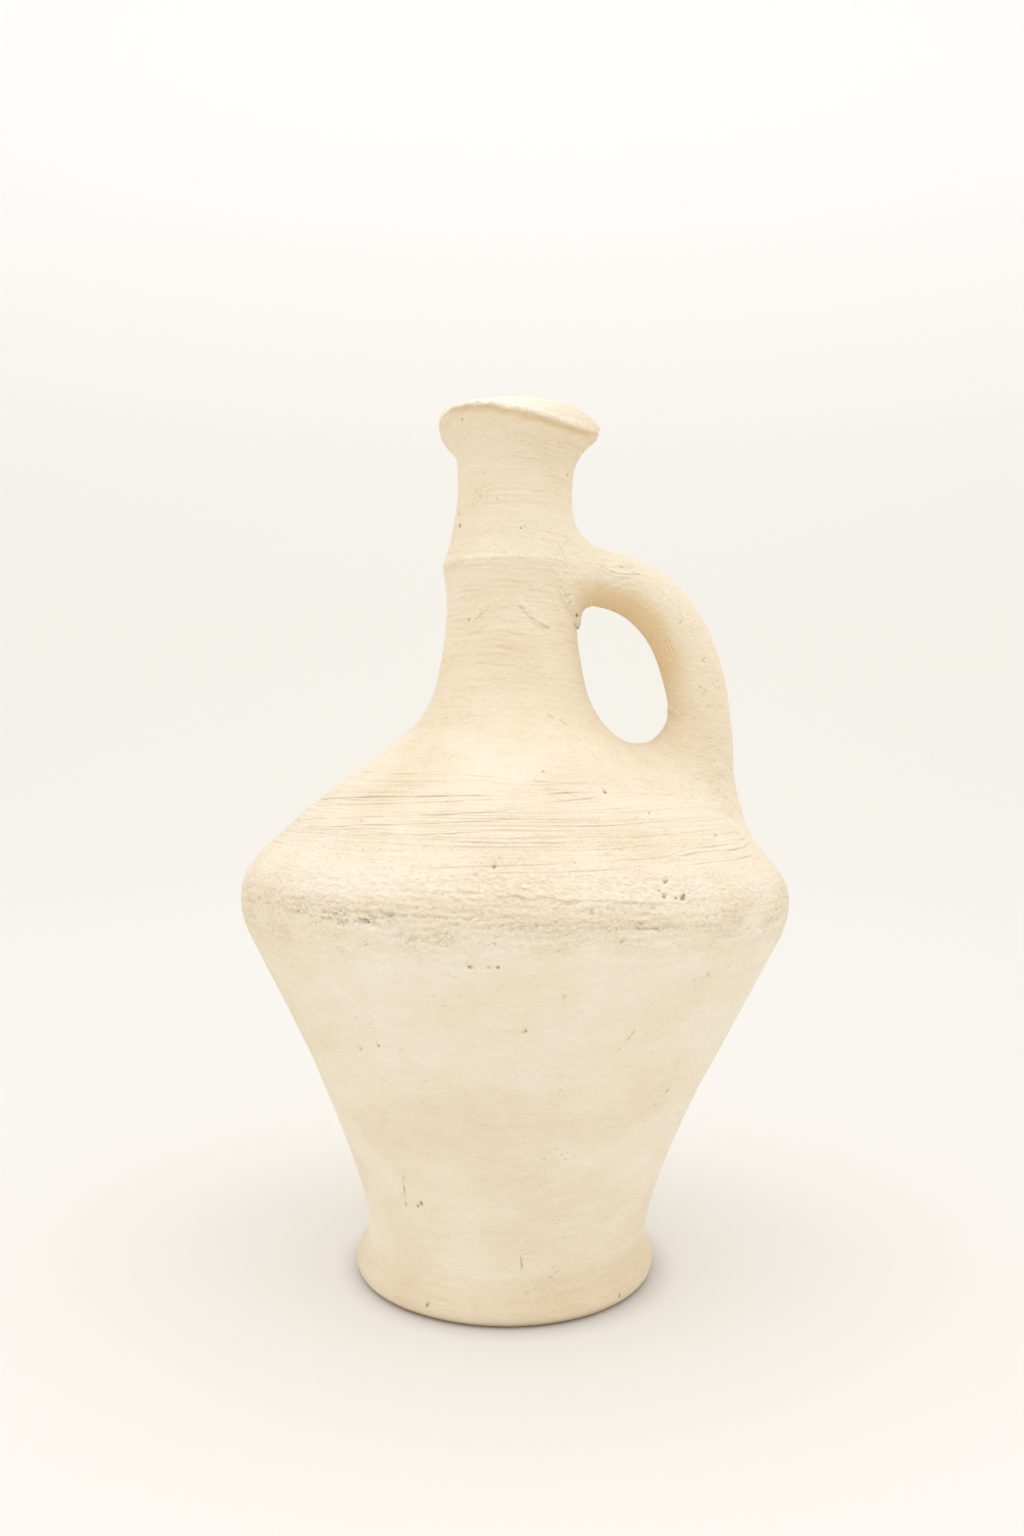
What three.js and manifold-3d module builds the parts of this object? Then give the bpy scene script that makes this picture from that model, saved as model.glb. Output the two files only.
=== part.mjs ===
// Hand-built earthenware pitcher: two cones meeting at a belly, a collared neck, a warped lip
// and one loop handle. It is an assembly of the clay members that a potter forms one by one
// and lutes together with slip.
// Millimetres, +Z up. The origin is on the resting plane, on the axis that the walls are turned about.
// The handle stands on the +X side, and azimuths count from -Y (the front) towards +X.
import * as THREE from "three";
import { mergeVertices } from "three/addons/utils/BufferGeometryUtils.js";
import Module from "manifold-3d";

// Turning and luting
const FACETS = 40; // flat facets round the axis
const SKIN_STEPS = 3; // straight steps along each smooth run of the outer skin
const INSIDE_STEPS = 2; // and along each run of a lining or of a seat under a coil
const SLIP = 0.3; // film of slip between two luted members
const WELD = 1e-4; // corners closer than this are one corner

// Foot
const FOOT_RADIUS = 71; // widest place of the rolled edge
const FOOT_ROLL = 5; // rounding of the rolled edge, where it meets the table
const FOOT_RISE = 17; // table to the waist above the foot
const WAIST_RADIUS = 66.3;
const FLOOR_THICKNESS = 11;
const FLOOR_RECESS = 1.5; // the floor's underside is this far above the table
const FLOOR_BEVEL = 2; // the floor's edge widens by this much from its underside to its top

// Lower cone. Insets count inwards from the belly's radius.
const LOWER_WALL = 8; // wall thickness
const LOWER_RISE = 162; // waist to belly
const FLARE_SPREAD = 10.2; // outwards from the waist, to where the wall runs on as a cone
const FLARE_RISE = 41; // waist up to that place
const FLARE_LEAN = 20.5; // degrees from upright
const WALL_TOP_INSET = 4.7; // where the cone starts to round into the belly
const WALL_TOP_DROP = 19; // belly down to that place
const WALL_TOP_LEAN = 26.5;

// Belly and the luting coil above it, pressed over the seam between the two cones
const BELLY_RADIUS = 129.5;
const BELLY_WALL = 9;
const CREST_INSET = 4.2; // where the belly has rounded into the shoulder, over the seam
const CREST_RISE = 13; // belly up to that place
const CREST_LEAN = -36;
const CREST_WALL = 13; // wall and coil together
const BAND_INSET = 23.4; // coil's upper edge
const BAND_RISE = 33; // belly up to that edge
const BAND_LEAN = -46.5;
const BAND_DEPTH = 6; // coil's depth over the seam
const BAND_EDGE = 1.5; // coil's depth at its two edges

// Upper cone
const SHOULDER_WALL = 7;
const ROOT_RADIUS = 50.5; // shoulder's mouth, where the neck is seated
const ROOT_RISE = 77; // belly up to the mouth
const ROOT_LEAN = -51;

// Neck, its luting coil and throat. Collar insets count inwards from the collar's radius.
const NECK_WALL = 6.5;
const NECK_FOOT_RADIUS = 36.2; // top of the flared root
const NECK_FOOT_RISE = 24; // shoulder's mouth up to that place
const NECK_FOOT_LEAN = -13;
const COLLAR_RISE = 80; // shoulder's mouth up to the collar
const COLLAR_RADIUS = 33.8;
const COLLAR_WALL = 10.5; // wall and coil together
const COLLAR_DEPTH = 4; // coil's depth over the seam
const COLLAR_EDGE = 1.2; // coil's depth at its two edges
const COLLAR_LOW_INSET = 2.3; // coil's lower edge
const COLLAR_LOW_DROP = 16; // collar down to that edge
const COLLAR_LOW_LEAN = 3;
const COLLAR_HIGH_INSET = 3; // coil's upper edge
const COLLAR_HIGH_RISE = 12; // collar up to that edge
const COLLAR_HIGH_LEAN = -12;
const THROAT_RADIUS = 27.9;
const THROAT_RISE = 40; // collar up to the throat

// Lip. Spreads count outwards from the throat's radius, and rises from its height.
const TURN_OUT_SPREAD = 3; // where the lip turns out
const TURN_OUT_RISE = 16;
const TURN_OUT_LEAN = 30;
const TURN_OUT_WALL = 6;
const LIP_SPREAD = 12.1; // outer corner of the edge
const LIP_RISE = 26.8;
const LIP_LEAN = 42;
const LIP_WALL = 9.5; // thickness across the edge
const LIP_BULGE = 1.2; // how far the edge's end swells
const LIP_EDGE_STEPS = 4; // straight steps over it
const LIP_WARP = 4.5; // the outer corner rises and falls by this much, twice round the mouth
const LIP_WARP_TURN = -48; // azimuth of a place where it is high
const LIP_TILT = 1; // and it leans by this much
const LIP_TILT_TURN = -100; // azimuth of the side that leans up

// Handle: a flattened oval drawn along one arch
const HANDLE_WIDTH = 34; // across the arch
const HANDLE_NECK_THICKNESS = 26.5; // in the plane of the arch, at the neck
const HANDLE_SEAT_THICKNESS = 29.5; // and at the shoulder
const HANDLE_STEPS = 18; // rings along the arch
const HANDLE_SIDES = 20; // corners of each ring
const HANDLE_EMBED = 6; // the arch's ends run this far past the skin before they are cut to it
const HANDLE_NECK_DROP = 3.5; // collar down to the arch's upper end
const HANDLE_CROWN_REACH = 46.4; // neck's skin to the control point of the crown
const HANDLE_CROWN_LIFT = 2.8; // the crown's control point above the upper end
const HANDLE_BACK_BULGE = 1; // the back's control point outwards from the lower end
const HANDLE_BACK_RISE = 65.6; // the back's control point above the lower end
const HANDLE_SEAT_INSET = 36.3; // belly's radius inwards to the arch's lower end

// Wads that bind the handle: rings that flow from the handle's skin to a footprint on the vessel.
// A footprint's sizes count from the handle's own outline.
const WAD_STEPS = 5; // rings from the handle to the footprint
const WAD_SIDES = 24; // corners of each ring
const WAD_EDGE = 1.2; // thickness left at the wad's edges
const UPPER_WAD_SHARE = 0.14; // share of the arch that the upper wad covers
const UPPER_WAD_ABOVE = 17; // up the neck
const UPPER_WAD_BELOW = 9; // down the neck
const UPPER_WAD_ASIDE = 8; // round the neck, each way
const LOWER_WAD_SHARE = 0.36; // share of the arch that the lower wad covers
const LOWER_WAD_INWARD = 24; // towards the neck
const LOWER_WAD_INWARD_FULLNESS = 15; // how far it fills the corner between handle and shoulder there
const LOWER_WAD_OUTWARD = 16; // towards the belly
const LOWER_WAD_OUTWARD_FULLNESS = 2;
const LOWER_WAD_ASIDE = 10; // round the shoulder, each way

// Colours of the fired clay
const CLAY = 0xe9d8b9;
const PALE_CLAY = 0xf1e4ca;
const WARM_CLAY = 0xe3cda6;
const DARK_CLAY = 0xcdb68f;
const CLAY_ROUGHNESS = 0.92;

const wasm = await Module();
wasm.setup();

// Stations of the wall. Each says where the skin passes, how it leans and how thick the wall is.

function station(radius, height, leanDegrees, wall) {
  const lean = THREE.MathUtils.degToRad(leanDegrees);
  return {
    point: new THREE.Vector2(radius, height),
    along: new THREE.Vector2(Math.sin(lean), Math.cos(lean)),
    wall,
  };
}

// The same station at a depth below the skin.
function sunk(place, depth) {
  const inward = new THREE.Vector2(-place.along.y, place.along.x);
  return { ...place, point: place.point.clone().addScaledVector(inward, depth) };
}

// The same station moved along the wall.
function slid(place, distance) {
  return { ...place, point: place.point.clone().addScaledVector(place.along, distance) };
}

const lining = (place) => sunk(place, place.wall);

// One smooth run of wall, which leaves and arrives along its two stations' leans.
function run(from, to) {
  const reach = from.point.distanceTo(to.point) / 3;
  return new THREE.CubicBezierCurve(
    from.point,
    slid(from, reach).point,
    slid(to, -reach).point,
    to.point,
  );
}

function trace(places, steps) {
  const points = [places[0].point];
  for (let i = 1; i < places.length; i += 1) {
    points.push(...run(places[i - 1], places[i]).getPoints(steps).slice(1));
  }
  return points;
}

const skinOf = (...places) => trace(places, SKIN_STEPS);
const seatOf = (...places) => trace(places, INSIDE_STEPS);
const insideOf = (...places) => trace(places, INSIDE_STEPS).reverse();

const waist = station(WAIST_RADIUS, FOOT_RISE, 0, LOWER_WALL);
const flare = station(WAIST_RADIUS + FLARE_SPREAD, FOOT_RISE + FLARE_RISE, FLARE_LEAN, LOWER_WALL);

const bellyHeight = FOOT_RISE + LOWER_RISE;
function onBelly(inset, rise, lean, wall) {
  return station(BELLY_RADIUS - inset, bellyHeight + rise, lean, wall);
}
const wallTop = onBelly(WALL_TOP_INSET, -WALL_TOP_DROP, WALL_TOP_LEAN, LOWER_WALL);
const belly = onBelly(0, 0, 0, BELLY_WALL);
const crest = onBelly(CREST_INSET, CREST_RISE, CREST_LEAN, CREST_WALL);
const bandTop = onBelly(BAND_INSET, BAND_RISE, BAND_LEAN, SHOULDER_WALL);

const rootHeight = bellyHeight + ROOT_RISE;
const root = station(ROOT_RADIUS, rootHeight, ROOT_LEAN, SHOULDER_WALL);
const neckFoot = station(NECK_FOOT_RADIUS, rootHeight + NECK_FOOT_RISE, NECK_FOOT_LEAN, NECK_WALL);

const collarHeight = rootHeight + COLLAR_RISE;
function onCollar(inset, rise, lean, wall) {
  return station(COLLAR_RADIUS - inset, collarHeight + rise, lean, wall);
}
const collarLow = onCollar(COLLAR_LOW_INSET, -COLLAR_LOW_DROP, COLLAR_LOW_LEAN, NECK_WALL);
const collar = onCollar(0, 0, 0, COLLAR_WALL);
const collarHigh = onCollar(COLLAR_HIGH_INSET, COLLAR_HIGH_RISE, COLLAR_HIGH_LEAN, NECK_WALL);

const throatHeight = collarHeight + THROAT_RISE;
function onThroat(spread, rise, lean, wall) {
  return station(THROAT_RADIUS + spread, throatHeight + rise, lean, wall);
}
const throat = onThroat(0, 0, 0, NECK_WALL);
const turnOut = onThroat(TURN_OUT_SPREAD, TURN_OUT_RISE, TURN_OUT_LEAN, TURN_OUT_WALL);
const lipCorner = onThroat(LIP_SPREAD, LIP_RISE, LIP_LEAN, LIP_WALL);

// Solids

function revolve(outline) {
  const geometry = new THREE.LatheGeometry([...outline, outline[0]], FACETS);
  return geometry.rotateX(Math.PI / 2);
}

function solidOf(geometry) {
  const bare = new THREE.BufferGeometry();
  bare.setAttribute("position", geometry.getAttribute("position"));
  bare.setIndex(geometry.getIndex());
  const merged = mergeVertices(bare, WELD);
  const mesh = new wasm.Mesh({
    numProp: 3,
    vertProperties: new Float32Array(merged.getAttribute("position").array),
    triVerts: new Uint32Array(merged.getIndex().array),
  });
  return new wasm.Manifold(mesh);
}

function geometryOf(solid) {
  const mesh = solid.getMesh();
  const geometry = new THREE.BufferGeometry();
  geometry.setAttribute("position", new THREE.BufferAttribute(mesh.vertProperties, 3));
  geometry.setIndex(new THREE.BufferAttribute(mesh.triVerts, 1));
  geometry.computeVertexNormals();
  return geometry;
}

// Foot

function baseDisc() {
  const topRadius = lining(waist).point.x - SLIP;
  const disc = new THREE.CylinderGeometry(topRadius, topRadius - FLOOR_BEVEL, FLOOR_THICKNESS, FACETS);
  disc.rotateX(Math.PI / 2);
  return disc.translate(0, 0, FLOOR_RECESS + FLOOR_THICKNESS / 2);
}

function footRing() {
  const insideTop = lining(waist).point;
  const roll = new THREE.Path();
  roll.absarc(FOOT_RADIUS - FOOT_ROLL, FOOT_ROLL, FOOT_ROLL, -Math.PI / 2, 0, false);
  const rollTop = station(FOOT_RADIUS, FOOT_ROLL, 0, LOWER_WALL);
  return revolve([
    new THREE.Vector2(insideTop.x - FLOOR_BEVEL, 0),
    ...roll.getPoints(SKIN_STEPS),
    ...skinOf(rollTop, waist).slice(1),
    insideTop,
    new THREE.Vector2(insideTop.x, FLOOR_RECESS + FLOOR_THICKNESS),
    new THREE.Vector2(insideTop.x - FLOOR_BEVEL, FLOOR_RECESS),
  ]);
}

// Body

function lowerWall() {
  const onFoot = slid(waist, SLIP);
  return revolve([
    ...skinOf(onFoot, flare, wallTop, belly),
    ...seatOf(sunk(belly, BAND_EDGE + SLIP), sunk(crest, BAND_DEPTH + SLIP)),
    ...insideOf(...[onFoot, flare, wallTop, belly, crest].map(lining)),
  ]);
}

function bellyBand() {
  const low = slid(belly, SLIP);
  const high = slid(bandTop, -SLIP);
  return revolve([
    ...skinOf(low, crest, high),
    ...insideOf(sunk(low, BAND_EDGE), sunk(crest, BAND_DEPTH), sunk(high, BAND_EDGE)),
  ]);
}

function shoulder() {
  const seat = slid(crest, SLIP);
  return revolve([
    ...seatOf(sunk(seat, BAND_DEPTH + SLIP), sunk(bandTop, BAND_EDGE + SLIP)),
    ...skinOf(bandTop, root),
    ...insideOf(...[seat, bandTop, root].map(lining)),
  ]);
}

// Neck and lip

function neckRoot() {
  const seat = slid(root, SLIP);
  return revolve([...skinOf(seat, neckFoot), ...insideOf(lining(seat), lining(neckFoot))]);
}

function lowerNeck() {
  const seat = slid(neckFoot, SLIP);
  return revolve([
    ...skinOf(seat, collarLow),
    ...seatOf(sunk(collarLow, COLLAR_EDGE + SLIP), sunk(collar, COLLAR_DEPTH + SLIP)),
    ...insideOf(...[seat, collarLow, collar].map(lining)),
  ]);
}

function neckCollar() {
  const low = slid(collarLow, SLIP);
  const high = slid(collarHigh, -SLIP);
  return revolve([
    ...skinOf(low, collar, high),
    ...insideOf(sunk(low, COLLAR_EDGE), sunk(collar, COLLAR_DEPTH), sunk(high, COLLAR_EDGE)),
  ]);
}

function upperNeck() {
  const seat = slid(collar, SLIP);
  return revolve([
    ...seatOf(sunk(seat, COLLAR_DEPTH + SLIP), sunk(collarHigh, COLLAR_EDGE + SLIP)),
    ...skinOf(collarHigh, throat),
    ...insideOf(...[seat, collarHigh, throat].map(lining)),
  ]);
}

// How far the warp and the lean raise the lip's outer corner at an azimuth.
function cornerLift(azimuth) {
  const warpTurn = THREE.MathUtils.degToRad(LIP_WARP_TURN);
  const tiltTurn = THREE.MathUtils.degToRad(LIP_TILT_TURN);
  return LIP_WARP * Math.cos(2 * (azimuth - warpTurn)) + LIP_TILT * Math.cos(azimuth - tiltTurn);
}

// The share of that lift at a height: it grows from the throat to the corner and is gone at the top.
function liftShare(height) {
  const growing = THREE.MathUtils.smoothstep(height, throat.point.y, lipCorner.point.y);
  const fading = THREE.MathUtils.inverseLerp(lining(lipCorner).point.y, lipCorner.point.y, height);
  return growing * THREE.MathUtils.clamp(fading, 0, 1);
}

function lip() {
  const seat = slid(throat, SLIP);
  const swell = slid(sunk(lipCorner, LIP_WALL / 2), 2 * LIP_BULGE).point;
  const edge = new THREE.QuadraticBezierCurve(lipCorner.point, swell, lining(lipCorner).point);
  const geometry = revolve([
    ...skinOf(seat, turnOut, lipCorner),
    ...edge.getPoints(LIP_EDGE_STEPS).slice(1, -1),
    ...insideOf(...[seat, turnOut, lipCorner].map(lining)),
  ]);
  const corners = geometry.getAttribute("position");
  for (let i = 0; i < corners.count; i += 1) {
    const azimuth = Math.atan2(corners.getX(i), -corners.getY(i));
    const height = corners.getZ(i);
    corners.setZ(i, height + liftShare(height) * cornerLift(azimuth));
  }
  return geometry;
}

// The vessel's skin from the belly to the lip, which the handle and its wads are cut to.

const skinPlaces = [belly, crest, bandTop, root, neckFoot, collarLow, collar, collarHigh, throat, turnOut];
const skin = skinOf(...skinPlaces);

// The skin's point at a height, or at a radius on the shoulder and neck root.
function skinAt(axis, value) {
  const reaches = (point) => (axis === "y" ? point.y >= value : point.x <= value);
  const found = skin.slice(1, -1).findIndex(reaches);
  const first = found < 0 ? skin.length - 2 : found;
  const [low, high] = [skin[first], skin[first + 1]];
  const share = (value - low[axis]) / (high[axis] - low[axis]);
  return low.clone().lerp(high, share);
}

function vesselCore() {
  const hollow = lining(throat).point.x / 2;
  const grown = skinOf(...skinPlaces.map((place) => sunk(place, -SLIP)));
  return solidOf(revolve([
    new THREE.Vector2(hollow, belly.point.y),
    ...grown,
    new THREE.Vector2(hollow, grown.at(-1).y),
  ]));
}

// Handle

const archHeight = collarHeight - HANDLE_NECK_DROP;
const archNeckRadius = skinAt("y", archHeight).x;
const archSeatRadius = BELLY_RADIUS - HANDLE_SEAT_INSET;
const archSeatHeight = skinAt("x", archSeatRadius).y;
const arch = new THREE.CubicBezierCurve3(
  new THREE.Vector3(archNeckRadius - HANDLE_EMBED, 0, archHeight),
  new THREE.Vector3(archNeckRadius + HANDLE_CROWN_REACH, 0, archHeight + HANDLE_CROWN_LIFT),
  new THREE.Vector3(archSeatRadius + HANDLE_BACK_BULGE, 0, archSeatHeight + HANDLE_BACK_RISE),
  new THREE.Vector3(archSeatRadius, 0, archSeatHeight - HANDLE_EMBED),
);

// A point of the handle's skin, grown outwards, at a share of the arch and an angle round the oval.
// Angle 90 degrees is the back of the arch.
function onHandle(place, angle, growth) {
  const centre = arch.getPointAt(place);
  const tangent = arch.getTangentAt(place);
  const outward = new THREE.Vector3(-tangent.z, 0, tangent.x);
  const thickness = THREE.MathUtils.lerp(HANDLE_NECK_THICKNESS, HANDLE_SEAT_THICKNESS, place);
  const aside = (HANDLE_WIDTH / 2 + growth) * Math.cos(angle);
  const depth = (thickness / 2 + growth) * Math.sin(angle);
  return centre.addScaledVector(outward, depth).add(new THREE.Vector3(0, aside, 0));
}

// A closed loft through rings of corners, capped flat at both ends.
function loft(rings) {
  const sides = rings[0].length;
  const centre = (ring) => ring.reduce((sum, p) => sum.add(p), new THREE.Vector3()).divideScalar(sides);
  const points = [...rings.flat(), centre(rings[0]), centre(rings.at(-1))];
  const first = points.length - 2;
  const last = points.length - 1;
  const triangles = [];
  for (let side = 0; side < sides; side += 1) {
    const next = (side + 1) % sides;
    triangles.push(first, side, next);
    for (let ring = 0; ring < rings.length - 1; ring += 1) {
      const here = ring * sides;
      const above = here + sides;
      triangles.push(here + side, above + side, above + next, here + side, above + next, here + next);
    }
    const top = (rings.length - 1) * sides;
    triangles.push(last, top + next, top + side);
  }
  const geometry = new THREE.BufferGeometry().setFromPoints(points);
  return geometry.setIndex(triangles);
}

function handleBlank(growth) {
  const rings = [];
  for (let step = 0; step <= HANDLE_STEPS; step += 1) {
    const ring = [];
    for (let side = 0; side < HANDLE_SIDES; side += 1) {
      ring.push(onHandle(step / HANDLE_STEPS, (-2 * Math.PI * side) / HANDLE_SIDES, growth));
    }
    rings.push(ring);
  }
  return solidOf(loft(rings));
}

const handle = (core) => geometryOf(handleBlank(0).subtract(core));

// Wads

// A point round the vessel, at a distance along the skin's circle from the handle's plane.
function round(profilePoint, aside) {
  const turn = aside / profilePoint.x;
  return new THREE.Vector3(
    profilePoint.x * Math.cos(turn),
    profilePoint.x * Math.sin(turn),
    profilePoint.y,
  );
}

// Each line of the wad leaves the handle along its skin and comes to lie along the vessel.
// The turn is 1 where the wad runs back down the arch, and -1 where it runs on along it.
// The lift puts a point that is too low for a wad's edge back above the vessel's skin.
function wad(core, { place, turn, corner, footprint, lift, sink }) {
  const rings = Array.from({ length: WAD_STEPS + 2 }, () => []);
  for (let side = 0; side < WAD_SIDES; side += 1) {
    const angle = (turn * 2 * Math.PI * side) / WAD_SIDES;
    const start = onHandle(place, angle, WAD_EDGE);
    const end = footprint(angle);
    const line = new THREE.QuadraticBezierCurve3(start, corner(angle), end);
    line.getPoints(WAD_STEPS).forEach((point, step) => rings[step].push(lift(point)));
    rings.at(-1).push(end.clone().add(sink));
  }
  const blank = solidOf(loft(rings));
  return geometryOf(blank.subtract(core).subtract(handleBlank(SLIP)));
}

function upperWad(core) {
  const lift = (point) => {
    const short = (skinAt("y", point.z).x + WAD_EDGE) / Math.hypot(point.x, point.y);
    const grow = Math.max(1, short);
    return new THREE.Vector3(point.x * grow, point.y * grow, point.z);
  };
  const corner = (angle) => {
    const seat = onHandle(0, angle, WAD_EDGE);
    const radius = skinAt("y", seat.z).x + WAD_EDGE;
    return seat.setX(Math.sqrt(radius ** 2 - seat.y ** 2));
  };
  const footprint = (angle) => {
    const spread = Math.sin(angle) > 0 ? UPPER_WAD_ABOVE : UPPER_WAD_BELOW;
    const climb = (HANDLE_NECK_THICKNESS / 2 + spread) * Math.sin(angle);
    const place = skinAt("y", archHeight + climb);
    place.x += WAD_EDGE;
    return round(place, (HANDLE_WIDTH / 2 + UPPER_WAD_ASIDE) * Math.cos(angle));
  };
  const sink = new THREE.Vector3(-HANDLE_EMBED, 0, 0);
  return wad(core, { place: UPPER_WAD_SHARE, turn: 1, corner, footprint, lift, sink });
}

function lowerWad(core) {
  const skinHeight = (point) => skinAt("x", Math.hypot(point.x, point.y)).y + WAD_EDGE;
  const lift = (point) => new THREE.Vector3(point.x, point.y, Math.max(point.z, skinHeight(point)));
  const corner = (angle) => {
    const outwards = (1 + Math.sin(angle)) / 2;
    const fullness = THREE.MathUtils.lerp(LOWER_WAD_INWARD_FULLNESS, LOWER_WAD_OUTWARD_FULLNESS, outwards);
    const seat = onHandle(1, angle, WAD_EDGE);
    return seat.setZ(skinHeight(seat) + fullness);
  };
  const footprint = (angle) => {
    const spread = Math.sin(angle) > 0 ? LOWER_WAD_OUTWARD : LOWER_WAD_INWARD;
    const reach = (HANDLE_SEAT_THICKNESS / 2 + spread) * Math.sin(angle);
    const place = skinAt("x", archSeatRadius + reach);
    place.y += WAD_EDGE;
    return round(place, (HANDLE_WIDTH / 2 + LOWER_WAD_ASIDE) * Math.cos(angle));
  };
  const sink = new THREE.Vector3(0, 0, -HANDLE_EMBED);
  return wad(core, { place: 1 - LOWER_WAD_SHARE, turn: -1, corner, footprint, lift, sink });
}

// Assembly

function member(name, geometry, color) {
  const material = new THREE.MeshStandardMaterial({ color, roughness: CLAY_ROUGHNESS, metalness: 0 });
  const mesh = new THREE.Mesh(geometry, material);
  mesh.name = name;
  return mesh;
}

const core = vesselCore();
const pitcher = new THREE.Group();
pitcher.add(
  member("base_disc", baseDisc(), DARK_CLAY),
  member("foot_ring", footRing(), CLAY),
  member("lower_wall", lowerWall(), CLAY),
  member("belly_band", bellyBand(), DARK_CLAY),
  member("shoulder", shoulder(), PALE_CLAY),
  member("neck_root", neckRoot(), CLAY),
  member("lower_neck", lowerNeck(), CLAY),
  member("neck_collar", neckCollar(), WARM_CLAY),
  member("upper_neck", upperNeck(), CLAY),
  member("lip", lip(), PALE_CLAY),
  member("handle", handle(core), WARM_CLAY),
  member("upper_handle_wad", upperWad(core), CLAY),
  member("lower_handle_wad", lowerWad(core), CLAY),
);

export default pitcher;
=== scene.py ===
import collections
import functools
import itertools
import math

import bpy
import numpy as np
from mathutils import Matrix, Vector


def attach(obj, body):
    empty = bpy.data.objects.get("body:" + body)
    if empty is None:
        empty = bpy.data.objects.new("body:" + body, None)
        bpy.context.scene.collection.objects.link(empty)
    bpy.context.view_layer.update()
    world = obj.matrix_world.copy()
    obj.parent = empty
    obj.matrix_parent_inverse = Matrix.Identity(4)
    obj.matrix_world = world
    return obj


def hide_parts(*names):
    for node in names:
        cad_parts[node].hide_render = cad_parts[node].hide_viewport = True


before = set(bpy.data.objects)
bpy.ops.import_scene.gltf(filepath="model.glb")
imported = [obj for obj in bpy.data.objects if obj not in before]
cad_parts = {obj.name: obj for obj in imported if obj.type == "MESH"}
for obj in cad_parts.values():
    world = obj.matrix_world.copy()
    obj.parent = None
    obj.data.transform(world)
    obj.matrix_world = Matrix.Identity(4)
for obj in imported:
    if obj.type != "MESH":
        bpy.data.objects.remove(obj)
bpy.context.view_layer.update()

MILLIMETRE = 0.001
BODY_COLUMNS = 720  # points round the body's rings
NECK_COLUMNS = 480  # and round the neck's
FRONT_CROWDING = 0.35  # how much closer together they stand at the front
FLOOR_COLUMNS, FLOOR_RINGS = 240, 40
HANDLE_COLUMNS, HANDLE_ROWS = 220, 380
WAD_COLUMNS, WAD_ROWS = 360, 130
SHARP_EDGE = 60  # degrees between faces from which an edge stays crisp
SEED = 41
# Painted highlight and painted shade follow small slopes; this gain sets how strongly
SLOPE_GAIN = 1.25  # how strongly dust and shade follow small slopes

# Spacing of the rows of points: on the skin, in the hidden seats and on the lining
PROFILE_SPACING = 1.0
FOOT_FLAT_SPACING = 1.5
FOOT_SPACING = 0.6
WALL_SPACINGS = (1.6, 1.65, 0.85)
BAND_SPACING = 0.37
SHOULDER_SPACING = 0.39
SHOULDER_CROWDING = 0.3
NECK_SPACING = 0.55
COLLAR_SPACING = 0.5
LIP_SPACINGS = (0.5, 0.4)
LIP_FACE_ROWS = 32
FOOT_ROLL_ROWS = 14
WALL_SEAT_SPACING = 6
BAND_SEAT_SPACING = 8
COLLAR_SEAT_SPACING = 4
WALL_LINING_SPACING = 18
SHOULDER_LINING_SPACING = 12
ROOT_LINING_SPACING = 3
NECK_LINING_SPACING = 2
LIP_LINING_SPACING = 1.2

# Where the skin passes, how it leans from upright in degrees, and how thick the wall is
Station = collections.namedtuple("Station", "radius height lean wall")
FOOT_ROLL = 5
FOOT_EDGE = Station(71, FOOT_ROLL, 0, 8)
WAIST = Station(66.3, 17, 0, 8)
FLARE = Station(76.5, 58, 20.5, 8)
WALL_TOP = Station(124.8, 160, 26.5, 8)
BELLY = Station(129.5, 179, 0, 9)
CREST = Station(125.3, 192, -36, 13)
BAND_TOP = Station(106.1, 212, -46.5, 7)
ROOT = Station(50.5, 256, -51, 7)
NECK_FOOT = Station(36.2, 280, -13, 6.5)
COLLAR_LOW = Station(31.5, 320, 3, 6.5)
COLLAR = Station(33.8, 336, 0, 10.5)
COLLAR_HIGH = Station(30.8, 348, -12, 6.5)
THROAT = Station(27.9, 376, 0, 6.5)
TURN_OUT = Station(30.9, 392, 30, 6)
LIP_CORNER = Station(40, 402.8, 42, 9.5)
LIP_BULGE = 1.2
SLIP = 0.3  # film of slip between luted members
BAND_DEPTH = 6
BAND_EDGE = 1.5
COLLAR_DEPTH = 4
COLLAR_EDGE = 1.2
FLOOR_RECESS = 1.5
FLOOR_TOP = 12.5
FLOOR_BEVEL = 2
FLOOR_EYE = 3  # radius of the floor's innermost ring of points
RIDGES_LOW, RIDGES_HIGH = 20, 402  # heights between which fingers left ridges on the lining

# The turning axis wanders: how far it lies to the right at each height
DRIFT = (
    (0, -1.8), (12, -1.5), (24, -0.2), (90, 0.4), (112, 1.3), (180, 1.6), (200, 1.0),
    (262, -1.5), (300, -1.9), (345, -1.4), (378, -0.7), (392, 0.2), (404, 0.9),
)

# The lip's outer corner rises and falls twice round the mouth, and leans
LIP_WARP = 4.1
LIP_WARP_TURN = -48
LIP_TILT = 1
LIP_TILT_TURN = -100

# The collar sags most in this direction
COLLAR_SAG = 2
COLLAR_SAG_TURN = 45

# Handle: an oval drawn along an arch
HANDLE_WIDTH = 34
HANDLE_NECK_THICKNESS = 26.5
HANDLE_SEAT_THICKNESS = 29.5
HANDLE_EMBED = 6
HANDLE_SINK = 4  # how deep its ends stand in the vessel's skin
ARCH_HEIGHT = COLLAR.height - 3.5
ARCH_CROWN_REACH = 46.4
ARCH_CROWN_LIFT = 2.8
ARCH_SEAT_RADIUS = BELLY.radius - 36.3
ARCH_BACK_BULGE = 1
ARCH_BACK_RISE = 65.6


# Small helpers

def within(share):
    return np.clip(share, 0, 1)


def smooth(share):
    share = within(share)
    return share * share * (3 - 2 * share)


def bell(distance, width):
    return np.exp(-((distance / width) ** 2))


def unit(vectors):
    return vectors / np.linalg.norm(vectors, axis=-1, keepdims=True)


def axes_of(points):
    return tuple(np.moveaxis(points, -1, 0))


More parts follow.
